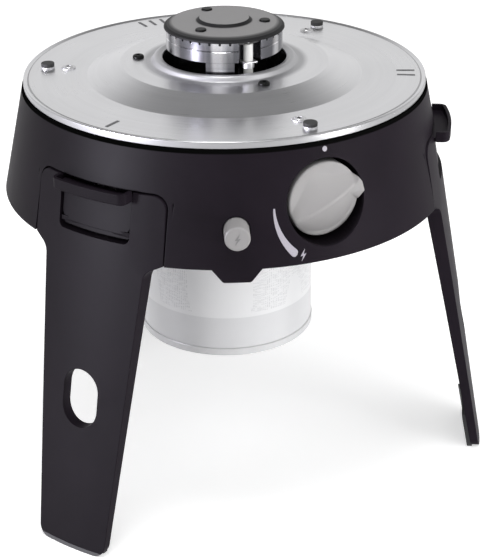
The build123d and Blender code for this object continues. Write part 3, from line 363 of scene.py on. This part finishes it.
def cap_coat():
    """Grey enamel on the burner's cap, darker on its shoulder, its side and the wall of its disc:
    painted shade.
    """
    finish = Finish("grey enamel", IOR=1.25)
    radius, _, height = from_axis(finish)
    speckle, cloud, tone = speckled(finish, (0.200, 0.197, 0.199), (0.255, 0.251, 0.253))
    # Painted shade on the disc's wall, the shoulder and the side
    wall = finish.fade(height, disc_wall_foot, disc_wall_full)
    wall = wall * (radius < disc_wall_radius) * (height < disc_wall_top)
    shoulder = finish.fade(radius, cap_shoulder_start, cap_shoulder_end) * 0.88
    side = finish.fade(radius, cap_side_start, cap_side_end)
    finish.colour(finish.blend(finish.clamped(wall + shoulder + side), tone, (0.011, 0.011, 0.012)))
    finish.roughness(0.6 + cloud.swing(0.12))
    finish.relief(speckle, depth=0.00006, strength=0.3, edge=0.0003)
    return finish.material


def can_print():
    """The can: a pale label above a bare greyer band, with faint columns of short strokes."""
    breaks_round, breaks_up = 12.0, 900.0
    blocks_round, blocks_up, blocks_shift = 2.2, 9.0, 3.0
    column_level, break_level, block_level = 0.1, 0.5, 0.47
    finish = Finish("printed can", Specular_IOR_Level=0.4)
    place = finish.place()
    _, turn, height = from_axis(finish)
    cloud = finish.noise(place, scale=45.0)
    columns = finish.maths("SINE", turn * stroke_columns)
    break_place = finish.join(turn * breaks_round, height * breaks_up, 0.0)
    breaks = finish.noise(break_place, scale=1.0, detail=2.0)
    block_place = finish.join(turn * blocks_round, height * blocks_up, blocks_shift)
    blocks = finish.noise(block_place, scale=1.0, detail=0.0)
    strokes = (columns > column_level) * (breaks > break_level) * (blocks > block_level)
    strokes = strokes * (height > label_foot + stroke_margin) * stroke_strength
    bare = finish.blend(cloud, (0.68, 0.68, 0.695), (0.73, 0.73, 0.745))
    paper = finish.blend(cloud, (0.80, 0.80, 0.815), (0.84, 0.84, 0.85))
    paper = finish.blend(strokes, paper, (0.45, 0.45, 0.47))
    label = finish.fade(height, label_foot - label_blur, label_foot + label_blur)
    finish.colour(finish.blend(label, bare, paper))
    finish.roughness(0.34 + cloud.swing(0.1))
    finish.relief(finish.noise(place, scale=300.0, detail=2.0), depth=0.00003, strength=0.2)
    return finish.material


def rim_paint():
    """The seamed rim of the can, painted pale grey."""
    finish = Finish("painted can rim", Specular_IOR_Level=0.5)
    place = finish.place()
    cloud = finish.noise(place, scale=200.0)
    finish.colour(finish.blend(cloud, (0.62, 0.62, 0.63), (0.72, 0.72, 0.73)))
    finish.roughness(0.38 + cloud.swing(0.1))
    finish.relief(finish.noise(place, scale=500.0, detail=2.0), depth=0.00003, strength=0.2, edge=0.0004)
    return finish.material


def worn_print(name, colour, paler, roughness, wear_scale=1800.0, wear_span=(0.0, 1.0), **constants):
    """Printed or etched marks, very slightly uneven."""
    finish = Finish(name, **constants)
    wear = finish.noise(finish.place(), scale=wear_scale)
    finish.colour(finish.blend(finish.fade(wear, *wear_span), colour, paler))
    finish.roughness(roughness + wear.swing(0.1))
    return finish.material


finishes = {
    "charcoal_plastic": moulded_plastic(
        "charcoal plastic", (0.0108, 0.0081, 0.0118), (0.0142, 0.0106, 0.0155),
        roughness=0.50, grain_depth=0.00005, edge=0.0006, index=1.12, shade=skirt_shade),
    "light_grey_plastic": moulded_plastic(
        "light grey plastic", (0.300, 0.291, 0.293), (0.326, 0.317, 0.319),
        roughness=0.5, grain_depth=0.00004, edge=0.0020),
    "black_plastic": moulded_plastic(
        "black plastic", (0.018, 0.018, 0.018), (0.024, 0.024, 0.024),
        roughness=0.45, grain_depth=0.00003, edge=0.0003),
    "black_rubber": moulded_plastic(
        "black rubber", (0.022, 0.022, 0.022), (0.034, 0.034, 0.034),
        roughness=0.72, grain_depth=0.00006, edge=0.0004),
    "spun_steel": spun_tray(),
    "plated_steel": plain_metal(
        "plated steel", (0.62, 0.62, 0.63), roughness=0.42, depth=0.00001, edge=0.0),
    "black_steel": matte_coat(
        "black coated steel", (0.004, 0.004, 0.004), (0.008, 0.008, 0.008),
        roughness=0.42, speck_depth=0.00003, index=1.2),
    "grey_enamel": cap_coat(),
    "bright_chrome": burner_chrome(),
    "turned_brass": plain_metal("turned brass", (0.78, 0.56, 0.24), roughness=0.28),
    "cast_aluminium": plain_metal(
        "die-cast aluminium", (0.60, 0.60, 0.61), roughness=0.42, grain_scale=1400.0, depth=0.00008),
    "white_ceramic": matte_coat(
        "glazed ceramic", (0.78, 0.78, 0.76), (0.84, 0.84, 0.82), roughness=0.2, speck_depth=0.00001),
    "white_paint": can_print(),
    "tin_plate": rim_paint(),
}

pale_ink = worn_print(
    "pale mark ink", (0.33, 0.31, 0.355), (0.41, 0.385, 0.44), roughness=0.5, wear_span=(0.25, 0.5))
faint_ink = worn_print(
    "faint grey ink", (0.17, 0.166, 0.17), (0.22, 0.215, 0.22), roughness=0.5)
etched_grey = worn_print(
    "dark etched mark", (0.10, 0.10, 0.105), (0.15, 0.15, 0.155), roughness=0.55, wear_scale=2200.0,
    Metallic=0.4)

for part in frame["record"]["subparts"]:
    node = frame["nodes"][part["node"]]
    node.data.materials.clear()
    node.data.materials.append(finishes[part["material_slot"]])


def mesh_from(name, points, faces):
    mesh = bpy.data.meshes.new(name)
    mesh.from_pydata(points, [], faces)
    mesh.update()
    return mesh


def add_piece(name, mesh, material, body):
    """Puts a mesh in the scene as a piece that rides on a body."""
    piece = bpy.data.objects.new(name, mesh)
    bpy.context.scene.collection.objects.link(piece)
    piece.data.materials.append(material)
    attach(piece, body)
    return piece


def at_turn(turn, outward, sideways, height):
    """A point out from the burner's axis along a turn, across that way, and up."""
    return (axis_x + outward * math.cos(turn) - sideways * math.sin(turn),
            axis_y + outward * math.sin(turn) + sideways * math.cos(turn), height)


# Pieces whose forms are finer than the solids that they stand for

merge_distance = 0.000001
arc_steps = 8
small_piece_sides = 48
tray_turns = (30, 150, 270)


def closed_piece(name, points, faces, slot, body, nodes=(), smooth=35):
    """A piece of mesh in a slot's finish, which rides on a body and may stand for CAD nodes."""
    mesh = mesh_from(name, points, faces)
    work = bmesh.new()
    work.from_mesh(mesh)
    bmesh.ops.remove_doubles(work, verts=work.verts, dist=merge_distance)
    bmesh.ops.recalc_face_normals(work, faces=work.faces)
    work.to_mesh(mesh)
    work.free()
    mesh.shade_smooth()
    mesh.set_sharp_from_angle(angle=math.radians(smooth))
    piece = add_piece(name, mesh, finishes[slot], body)
    if nodes:
        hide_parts(*nodes)


def rounded(corners):
    """A closed outline from (radius, height, rounding) corners, with arcs at the rounded ones."""
    outline = []
    count = len(corners)
    for index, (x, z, rounding) in enumerate(corners):
        here = Vector((x, z))
        if not rounding:
            outline.append(here)
            continue
        before = (Vector(corners[index - 1][:2]) - here).normalized()
        after = (Vector(corners[(index + 1) % count][:2]) - here).normalized()
        half = before.angle(after) / 2
        centre = here + (before + after).normalized() * rounding / math.sin(half)
        start = here + before * rounding / math.tan(half) - centre
        end = here + after * rounding / math.tan(half) - centre
        for step in range(arc_steps + 1):
            share = step / arc_steps
            spoke = (start * (1 - share) + end * share).normalized() * rounding
            outline.append(centre + spoke)
    return outline


def turned_piece(name, corners, slot, nodes=(), centres=((0.0, 0.0),), sides=192):
    """A lathe form round each centre, given from the burner's axis. It rides on the base."""
    outline = rounded(corners)
    count = len(outline)
    points = []
    faces = []
    for across, along in centres:
        base = len(points)
        for side in range(sides):
            turn = 2 * math.pi * side / sides
            for spot in outline:
                points.append((axis_x + across + spot.x * math.cos(turn),
                               axis_y + along + spot.x * math.sin(turn), spot.y))
        for side in range(sides):
            this = base + side * count
            that = base + (side + 1) % sides * count
            for index in range(count):
                after = (index + 1) % count
                if outline[index].x + outline[after].x > 0.0:
                    faces.append((this + index, that + index, that + after, this + after))
    closed_piece(name, points, faces, slot, "base", nodes)


def on_circle(radius):
    """Centres on a circle at the three turns where the tray has its pegs and screws."""
    turns = [math.radians(turn) for turn in tray_turns]
    return [(radius * math.cos(turn), radius * math.sin(turn)) for turn in turns]


# The pressed tray, from the hole in its collar out to its rolled rim, and back below

tray_sheet = 0.0010
collar_hole_radius = 0.0413
collar_hole_height = 0.2853
collar_crest_radius = 0.0457
collar_crest_height = 0.2871
collar_crest_round = 0.0030
collar_foot_radius = 0.0486
mesa_height = 0.2825
mesa_edge_radius = 0.0690
ring_inner_radius = 0.0915
press_round = 0.0020
groove_radius = 0.1305
groove_half_width = 0.0006
groove_depth = 0.0005
lip_start_radius = 0.1321
lip_rise = 0.0007
lip_round = 0.0009
lip_drop = 0.0035
rim_radius = 0.1335
rim_inner = rim_radius - tray_sheet
lip_foot = tray_plane - lip_drop

turned_piece("tray_skin", [
    (collar_hole_radius, collar_hole_height, 0),
    (collar_crest_radius, collar_crest_height, collar_crest_round),
    (collar_foot_radius, mesa_height, press_round),
    (mesa_edge_radius, mesa_height, press_round),
    (ring_inner_radius, tray_plane, press_round),
    (groove_radius - groove_half_width, tray_plane, 0),
    (groove_radius, tray_plane - groove_depth, 0),
    (groove_radius + groove_half_width, tray_plane, 0),
    (lip_start_radius, tray_plane + lip_rise, 0),
    (rim_radius, tray_plane + lip_rise, lip_round),
    (rim_radius, lip_foot, 0),
    (rim_inner, lip_foot, 0),
    (rim_inner, tray_plane - tray_sheet, 0),
    (ring_inner_radius, tray_plane - tray_sheet, 0),
    (mesa_edge_radius - tray_sheet / 2, mesa_height - tray_sheet, 0),
    (collar_foot_radius - tray_sheet, mesa_height - tray_sheet, 0),
    (collar_crest_radius, collar_crest_height - tray_sheet * 4 / 3, collar_crest_round - tray_sheet),
    (collar_hole_radius, collar_hole_height - tray_sheet, 0),
], "spun_steel", ["top_tray"], sides=256)

# The burner's cap, from its raised disc out over its shoulder, and below to the ridge that seats it

disc_top_height = 0.3115
disc_top_radius = 0.0161
disc_top_round = 0.0008
disc_foot_height = 0.3093
disc_foot_radius = 0.0184
disc_foot_round = 0.0020
shoulder_height = 0.3087
shoulder_radius = 0.0352
shoulder_round = 0.0030
cap_radius = 0.0398
cap_edge_height = 0.3065
cap_edge_round = 0.0012
cap_lip_foot = 0.3054
cap_lip_thickness = 0.0010
cap_under_height = 0.3061
seat_outer_radius = 0.0359
seat_inner_radius = 0.0343
seat_foot = 0.3030

turned_piece("cap_skin", [
    (0.0, disc_top_height, 0),
    (disc_top_radius, disc_top_height, disc_top_round),
    (disc_foot_radius, disc_foot_height, disc_foot_round),
    (shoulder_radius, shoulder_height, shoulder_round),
    (cap_radius, cap_edge_height, cap_edge_round),
    (cap_radius, cap_lip_foot, 0),
    (cap_radius - cap_lip_thickness, cap_lip_foot, 0),
    (cap_radius - cap_lip_thickness, cap_under_height, 0),
    (seat_outer_radius, cap_under_height, 0),
    (seat_outer_radius, seat_foot, 0),
    (seat_inner_radius, seat_foot, 0),
    (seat_inner_radius, cap_under_height, 0),
    (0.0, cap_under_height, 0),
], "grey_enamel", ["burner_cap"])

# Pan pegs, each a metal cup with a rubber top

peg_circle = 0.1190
peg_cup_radius = 0.0046
peg_cup_round = 0.0003
peg_cup_top = tray_plane + 0.0010
peg_foot_radius = 0.0044
peg_top_radius = 0.0045
peg_top_round = 0.0006
peg_top = tray_plane + 0.0035
peg_centres = on_circle(peg_circle)

turned_piece("peg_cups", [
    (0.0, tray_plane, 0),
    (peg_cup_radius, tray_plane, 0),
    (peg_cup_radius, peg_cup_top, peg_cup_round),
    (0.0, peg_cup_top, 0),
], "plated_steel", ["pan_peg_ferrules"], peg_centres, small_piece_sides)

turned_piece("peg_tops", [
    (0.0, peg_cup_top, 0),
    (peg_foot_radius, peg_cup_top, 0),
    (peg_top_radius, peg_top, peg_top_round),
    (0.0, peg_top, 0),
], "black_rubber", ["pan_peg_pads"], peg_centres, small_piece_sides)

# Tray screws, each a flat washer head, with painted shade as a black disc in its socket

screw_circle = 0.1050
washer_radius = 0.0048
washer_height = 0.0007
washer_round = 0.0003
head_foot_radius = 0.0034
head_foot_height = 0.0008
head_radius = 0.0028
head_height = 0.0014
head_round = 0.0004
socket_radius = 0.0015
socket_round = 0.0002
socket_floor = 0.0004
# A black disc down in each socket, as painted shade
socket_shade_radius = 0.0014
socket_shade_foot = 0.0003
socket_shade_top = 0.0009
socket_sides = 24
screw_centres = on_circle(screw_circle)

turned_piece("tray_screw_heads", [
    (0.0, tray_plane, 0),
    (washer_radius, tray_plane, 0),
    (washer_radius, tray_plane + washer_height, washer_round),
    (head_foot_radius, tray_plane + head_foot_height, 0),
    (head_radius, tray_plane + head_height, head_round),
    (socket_radius, tray_plane + head_height, socket_round),
    (socket_radius, tray_plane + socket_floor, 0),
    (0.0, tray_plane + socket_floor, 0),
], "plated_steel", ["tray_screws"], screw_centres, small_piece_sides)

# Painted shade in the screws' sockets
turned_piece("tray_screw_socket_shade", [
    (0.0, tray_plane + socket_shade_foot, 0),
    (socket_shade_radius, tray_plane + socket_shade_foot, 0),
    (socket_shade_radius, tray_plane + socket_shade_top, 0),
    (0.0, tray_plane + socket_shade_top, 0),
], "black_steel", (), screw_centres, socket_sides)

# The gas knob: a disc with a bowed ridge across its face and a beak at its pointer's end

knob_radius = 0.0238
knob_back = 0.12558
knob_rim = 0.13758
knob_ridge = 0.14538
knob_bow_radius = 0.0575
knob_scoop_radius = 0.0300
knob_slope_width = 0.0200
knob_crest_near = 0.00145
knob_crest_far = 0.00045
knob_beak_top = 0.14218
knob_notch_top = 0.13858
knob_edge_round = 0.0006
knob_soft_step = 0.0003
knob_soft_shifts = (-knob_soft_step, 0.0, knob_soft_step)
knob_turn = math.radians(24.3)
knob_sides = 540
knob_rings = 64
knob_side_rows = 3
knob_ring_spread = 0.9
knob_face_share = 0.985
knob_smooth_angle = 50
beak_inner = (0.0155, -0.0040)
beak_root = (0.01987, -0.0131)
beak_tip = (0.02482, -0.0084)
beak_brow = (0.0257, -0.0021)
beak_crown = (0.0246, 0.0025)
beak_outline = (beak_inner, beak_root, beak_tip, beak_brow, beak_crown)
beak_outer_edges = (1, 2, 3)
outside_beak = -0.0000001
parallel_limit = 0.000001


def ridge_height(across, up):
    """Height of the knob's ridge, bowed along its length: a slope below it, a hollow above."""
    reach = math.sqrt(knob_scoop_radius ** 2 - (knob_scoop_radius - knob_ridge + knob_rim) ** 2)
    middle = reach + knob_crest_far
    if up < -knob_slope_width or up > middle:
        return knob_rim
    level = knob_ridge
    if up < -knob_crest_near:
        run = knob_slope_width - knob_crest_near
        level = knob_rim + (knob_ridge - knob_rim) * (up + knob_slope_width) / run
    elif up > knob_crest_far:
        level = knob_rim + knob_scoop_radius - math.sqrt(knob_scoop_radius ** 2 - (up - middle) ** 2)
    pivot = knob_ridge - knob_bow_radius
    return pivot + math.sqrt((level - pivot) ** 2 - across ** 2)


def beak_height(across, up):
    """Height of the beak's raised top, which slopes down to its root, or the rim's beside it."""
    for index, (x, y) in enumerate(beak_outline):
        after_x, after_y = beak_outline[(index + 1) % len(beak_outline)]
        if (after_x - x) * (up - y) - (after_y - y) * (across - x) < outside_beak:
            return knob_rim
    corner = Vector((*beak_inner, knob_beak_top))
    down = Vector((*beak_root, knob_notch_top)) - corner
    along = Vector((*beak_tip, knob_beak_top)) - corner
    normal = down.cross(along)
    plane = knob_beak_top - (normal.x * (across - corner.x) + normal.y * (up - corner.y)) / normal.z
    return min(knob_beak_top, plane)


def knob_face(across, up):
    """The face's height, softened over a third of a millimetre as a moulding is."""
    heights = []
    for shift_across in knob_soft_shifts:
        for shift_up in knob_soft_shifts:
            x = across + shift_across
            y = up + shift_up
            heights.append(max(knob_rim, ridge_height(x, y), beak_height(x, y)))
    return sum(heights) / len(heights)


def knob_reach(turn):
    """Radius of the knob's outline at a turn from the pointer: a circle with the beak on it."""
    reach = knob_radius
    for index in beak_outer_edges:
        x, y = beak_outline[index]
        run_x = beak_outline[index + 1][0] - x
        run_y = beak_outline[index + 1][1] - y
        below = math.cos(turn) * run_y - math.sin(turn) * run_x
        if abs(below) > parallel_limit:
            distance = (x * run_y - y * run_x) / below
            share = (math.cos(turn) * y - math.sin(turn) * x) / -below
            if distance > 0.0 and 0.0 <= share <= 1.0:
                reach = max(reach, distance)
    return reach


def knob_spot(across, up, out):
    """A point of the knob from its place across the pointer, up from it, and out from the axis."""
    return (axis_x + across * math.cos(knob_turn) - up * math.sin(knob_turn), axis_y - out,
            knob_height + across * math.sin(knob_turn) + up * math.cos(knob_turn))


def knob_piece():
    """The gas knob as a moulded skin: rings over the face, a rounded edge, and a plain side."""
    turns = [2 * math.pi * side / knob_sides for side in range(knob_sides)]
    raw = [knob_reach(turn) for turn in turns]
    outline = [(raw[side - 1] + raw[side] * 2 + raw[(side + 1) % knob_sides]) / 4
               for side in range(knob_sides)]
    points = []
    for ring in range(1, knob_rings + knob_side_rows + 1):
        for turn, edge in zip(turns, outline):
            reach = min(edge * (ring / knob_rings) ** knob_ring_spread, edge)
            across = reach * math.cos(turn)
            up = reach * math.sin(turn)
            inward = max(0.0, knob_edge_round - (edge - reach))
            depth = knob_edge_round - math.sqrt(knob_edge_round ** 2 - inward ** 2)
            height = knob_face(across * knob_face_share, up * knob_face_share) - depth
            if ring > knob_rings:
                height = height + (knob_back - height) * (ring - knob_rings) / knob_side_rows
            points.append(knob_spot(across, up, height))
    points.append(knob_spot(0.0, 0.0, knob_face(0.0, 0.0)))
    middle = len(points) - 1
    last_ring = (knob_rings + knob_side_rows - 1) * knob_sides
    faces = [(middle, side, (side + 1) % knob_sides) for side in range(knob_sides)]
    for inner in range(0, last_ring, knob_sides):
        outer = inner + knob_sides
        for side in range(knob_sides):
            after = (side + 1) % knob_sides
            faces.append((inner + side, outer + side, outer + after, inner + after))
    faces.append(tuple(range(last_ring, last_ring + knob_sides)))
    closed_piece("knob_skin", points, faces, "light_grey_plastic", "knob", ["gas_knob"],
                 smooth=knob_smooth_angle)


knob_piece()

# Rubber heels behind the legs' flanges

heel_height = 0.0270
heel_depth = 0.0034
heel_half_width = 0.0234
heel_corner = 0.0050
heel_tuck = 0.0002
heel_rows = 18
heel_columns = 16
leg_foot_flange = 0.18059
leg_flange_lean = 0.2037
leg_turns = {"one": 210, "two": 330, "three": 90}


def heel_piece(name, turn, body):
    """Rubber heel behind a leg's flange: a curved pad that leans with the leg."""
    points = []
    for back in (heel_depth, -heel_tuck):
        for row in range(heel_rows + 1):
            up = heel_height * row / heel_rows
            past = max(0.0, up - heel_height + heel_corner)
            half = heel_half_width - heel_corner + math.sqrt(heel_corner ** 2 - past ** 2)
            reach = leg_foot_flange - leg_flange_lean * up - back
            for column in range(heel_columns + 1):
                sideways = half * (2 * column / heel_columns - 1)
                outward = math.sqrt(reach ** 2 - sideways ** 2)
                points.append(at_turn(turn, outward, sideways, up))
    wide = heel_columns + 1
    sheet_points = (heel_rows + 1) * wide
    faces = []
    for row in range(heel_rows):
        for column in range(heel_columns):
            near = row * wide + column
            far = sheet_points + near
            faces.append((near, near + 1, near + wide + 1, near + wide))
            faces.append((far, far + wide, far + wide + 1, far + 1))
    border = [(0, column) for column in range(heel_columns)]
    border += [(row, heel_columns) for row in range(heel_rows)]
    border += [(heel_rows, column) for column in range(heel_columns, 0, -1)]
    border += [(row, 0) for row in range(heel_rows, 0, -1)]
    ring = [row * wide + column for row, column in border]
    for index, spot in enumerate(ring):
        after = ring[(index + 1) % len(ring)]
        faces.append((spot, after, sheet_points + after, sheet_points + spot))
    closed_piece(name, points, faces, "black_rubber", body)


for number, (word, degrees) in enumerate(leg_turns.items(), start=1):
    heel_piece(f"foot_heel_{number}", math.radians(degrees), f"leg_{word}")

# Marks, each a thin closed piece laid on its surface

mark_lift = 0.00006
mark_thickness = 0.00012
mark_lifts = (mark_lift, mark_lift + mark_thickness)


def on_skirt(across, up, lift):
    """A place on the skirt's face, across from the knob's axis, up from it and off the face."""
    height = knob_height + up
    radius = skirt_foot_radius + skirt_slope * (height - skirt_foot_height) + lift
    turn = across / radius
    return (axis_x + radius * math.sin(turn), axis_y - radius * math.cos(turn), height)


def on_button(across, up, lift):
    """A place on the face of the igniter's button, from its middle."""
    return at_turn(button_turn, button_face_radius + lift, across, button_height + up)


def on_tray(turn):
    """The tray's flat ring at a turn, as a surface to lay a mark on."""
    def spot(outward, sideways, lift):
        return at_turn(turn, outward, sideways, tray_plane + lift)
    return spot


def outline_mark(name, outline, surface, material, body="base"):
    """A mark from the ring of places round it."""
    count = len(outline)
    points = [surface(*place, lift) for lift in mark_lifts for place in outline]
    faces = [tuple(reversed(range(count))), tuple(range(count, count * 2))]
    for index in range(count):
        after = (index + 1) % count
        faces.append((index, after, count + after, count + index))
    add_piece(name, mesh_from(name, points, faces), material, body)


def strip_mark(name, inner, outer, surface, material, body="base"):
    """A long curved mark as one strip between two rows of places, so that it follows the cone."""
    count = len(inner)
    points = [surface(*place, lift) for lift in mark_lifts for place in inner + outer]
    top = count * 2
    faces = []
    for index in range(count - 1):
        after = index + 1
        faces.append((index, count + index, count + after, after))
        faces.append((top + index, top + after, top + count + after, top + count + index))
        faces.append((index, after, top + after, top + index))
        faces.append((count + index, top + count + index, top + count + after, count + after))
    last = count - 1
    faces.append((0, top, top + count, count))
    faces.append((last, count + last, top + count + last, top + last))
    add_piece(name, mesh_from(name, points, faces), material, body)


def dot_outline(across, up, radius, count=28):
    turns = [2 * math.pi * index / count for index in range(count)]
    return [(across + radius * math.cos(turn), up + radius * math.sin(turn)) for turn in turns]


def spark_outline(across, up, size):
    shape = [(0.18, 0.5), (-0.24, -0.08), (0.0, -0.04), (-0.2, -0.5), (0.26, 0.1), (0.02, 0.06)]
    return [(across + x * size, up + y * size) for x, y in shape]


dot_across = 0.001
dot_up = 0.0319
dot_radius = 0.0016
spark_across = -0.0192
spark_up = -0.0291
spark_size = 0.0075
button_spark_up = -0.0004
button_spark_size = 0.0074

outline_mark("pointer_dot", dot_outline(dot_across, dot_up, dot_radius), on_skirt, pale_ink)
outline_mark("spark_mark", spark_outline(spark_across, spark_up, spark_size), on_skirt, pale_ink)
outline_mark("button_spark_mark", spark_outline(0.0, button_spark_up, button_spark_size), on_button,
             faint_ink, "button")

# The wedge round the knob, which widens as the flow does and ends in a round

wedge_radius = 0.0342
wedge_start = 179
wedge_sweep = 52
wedge_thin = 0.0010
wedge_wide = 0.0052
wedge_round_start = 0.93
wedge_steps = 60

wedge_inner = []
wedge_outer = []
for index in range(wedge_steps + 1):
    share = index / wedge_steps
    turn = math.radians(wedge_start + wedge_sweep * share)
    width = wedge_thin + (wedge_wide - wedge_thin) * share
    past = max(0.0, (share - wedge_round_start) / (1 - wedge_round_start))
    middle = wedge_radius + width / 2
    half = width / 2 * math.sqrt(1 - past ** 2)
    for ring, radius in ((wedge_inner, middle - half), (wedge_outer, middle + half)):
        ring.append((radius * math.cos(turn), radius * math.sin(turn)))
strip_mark("flow_wedge", wedge_inner, wedge_outer, on_skirt, pale_ink)

# Leg marks on the tray's flat ring, as bars that point at the burner

bar_inner = 0.1145
bar_outer = 0.1265
bar_half_width = 0.0010
bar_outline = [(bar_inner, -bar_half_width), (bar_outer, -bar_half_width),
               (bar_outer, bar_half_width), (bar_inner, bar_half_width)]
bar_sets = {"first": (209.6,), "second": (328.6, 333.0), "third": (86.2, 90.0, 93.8)}

for word, turns in bar_sets.items():
    for number, degrees in enumerate(turns, start=1):
        surface = on_tray(math.radians(degrees))
        outline_mark(f"{word}_leg_bar_{number}", bar_outline, surface, etched_grey)

# Studio: a pale floor, soft lamps, and a white surround that only the camera and gloss see

backdrop_grey = 0.88
floor_glow = 0.46
floor_half = 6.0
surround_light = 0.66
ceiling_grey = 0.19
ceiling_start = 0.48
ceiling_full = 0.74


def floor_material():
    """A pale matte floor that glows to the camera and in gloss, and still takes shadows."""
    finish = Finish("studio floor", Roughness=0.9, Base_Color=(backdrop_grey,) * 3)
    rays = finish.add("ShaderNodeLightPath")
    seen = finish.clamped(finish.field(rays, "Is Camera Ray") + finish.field(rays, "Is Glossy Ray")
                          + finish.field(rays, "Is Transmission Ray"))
    glow = finish.add("ShaderNodeEmission", sockets={"Strength": seen * floor_glow})
    both = finish.add("ShaderNodeAddShader")
    finish.links.new(finish.shader.outputs["BSDF"], both.inputs[0])
    finish.links.new(glow.outputs["Emission"], both.inputs[1])
    finish.links.new(both.outputs["Shader"], finish.output.inputs["Surface"])
    return finish.material


floor_corners = [(-floor_half, -floor_half, 0), (floor_half, -floor_half, 0),
                 (floor_half, floor_half, 0), (-floor_half, floor_half, 0)]
floor = bpy.data.objects.new("studio floor", mesh_from("studio floor", floor_corners, [(0, 1, 2, 3)]))
bpy.context.scene.collection.objects.link(floor)
floor.data.materials.append(floor_material())


class Surround(Finish):
    """The world's own node tree, with the same helpers as a material."""

    def __init__(self, world):
        world.use_nodes = True
        self.nodes = world.node_tree.nodes
        self.links = world.node_tree.links
        self.nodes.clear()
        self.output = self.add("ShaderNodeOutputWorld")


def studio_surround():
    """White to the camera, a plain light on matte surfaces, and a darker ceiling in gloss."""
    world = bpy.data.worlds.new("studio surround")
    bpy.context.scene.world = world
    surround = Surround(world)
    direction = surround.field(surround.add("ShaderNodeTexCoord"), "Generated")
    _, _, rise = surround.split(direction)
    rays = surround.add("ShaderNodeLightPath")
    camera_ray = surround.field(rays, "Is Camera Ray")
    glossy_ray = surround.clamped(
        surround.field(rays, "Is Glossy Ray") + surround.field(rays, "Is Transmission Ray"))
    overhead = surround.fade(rise, ceiling_start, ceiling_full)
    gloss_level = 1.0 - overhead * (1.0 - ceiling_grey)
    plain_level = surround_light + glossy_ray * (gloss_level - surround_light)
    level = plain_level + camera_ray * (1.0 - plain_level)
    back = surround.add("ShaderNodeBackground", sockets={"Color": (1.0, 1.0, 1.0), "Strength": level})
    surround.links.new(back.outputs["Background"], surround.output.inputs["Surface"])


studio_surround()


def outward_way(azimuth, elevation):
    """The way from the object to a place at an azimuth from the front and an elevation."""
    return Vector((math.sin(azimuth) * math.cos(elevation), -math.cos(azimuth) * math.cos(elevation),
                   math.sin(elevation)))


target = Vector((axis_x, axis_y, camera_target_height))


def soft_lamp(name, azimuth, elevation, distance, size, watts, colour=(1, 1, 1), sheen_only=False):
    """A square softbox that faces the object. One for sheen lights no matte surface."""
    light = bpy.data.lights.new(name, "AREA")
    light.shape = "SQUARE"
    light.size = size
    light.energy = watts
    light.color = colour
    lamp = bpy.data.objects.new(name, light)
    way = outward_way(math.radians(azimuth), math.radians(elevation))
    lamp.location = target + way * distance
    lamp.rotation_euler = way.to_track_quat("Z", "Y").to_euler()
    lamp.visible_diffuse = not sheen_only
    bpy.context.scene.collection.objects.link(lamp)


soft_lamp("key softbox", azimuth=35, elevation=42, distance=1.8, size=0.9, watts=5)
soft_lamp("top softbox", azimuth=-40, elevation=78, distance=1.6, size=0.5, watts=9)
soft_lamp("low fill", azimuth=34, elevation=-3, distance=1.5, size=0.16, watts=10)
soft_lamp("side softbox", azimuth=-84, elevation=8, distance=2.2, size=0.4, watts=170,
          colour=(0.90, 0.88, 1.0), sheen_only=True)


def place_camera():
    """Stands the camera where the photograph was taken from, with its small turns and its lens."""
    away = outward_way(camera_azimuth, camera_elevation)
    upright = Vector((0, 0, 1))
    sight = -away
    right = sight.cross(upright).normalized()
    up = right.cross(sight)
    sight = (sight + right * math.tan(camera_yaw) + up * math.tan(camera_pitch)).normalized()
    right = sight.cross(upright).normalized()
    up = right.cross(sight)
    turned_right = right * math.cos(camera_roll) + up * math.sin(camera_roll)
    turned_up = up * math.cos(camera_roll) - right * math.sin(camera_roll)
    lens = bpy.data.cameras.new("photo camera")
    lens.sensor_fit = "VERTICAL"
    lens.sensor_height = sensor_height
    lens.sensor_width = sensor_height * photo_width / photo_height
    lens.lens = focal_pixels * sensor_height / photo_height
    camera = bpy.data.objects.new("photo camera", lens)
    turn = Matrix((turned_right, turned_up, -sight)).transposed().to_4x4()
    camera.matrix_world = Matrix.Translation(target + away * camera_distance) @ turn
    bpy.context.scene.collection.objects.link(camera)
    bpy.context.scene.camera = camera


place_camera()
bpy.context.scene.view_settings.view_transform = "Standard"
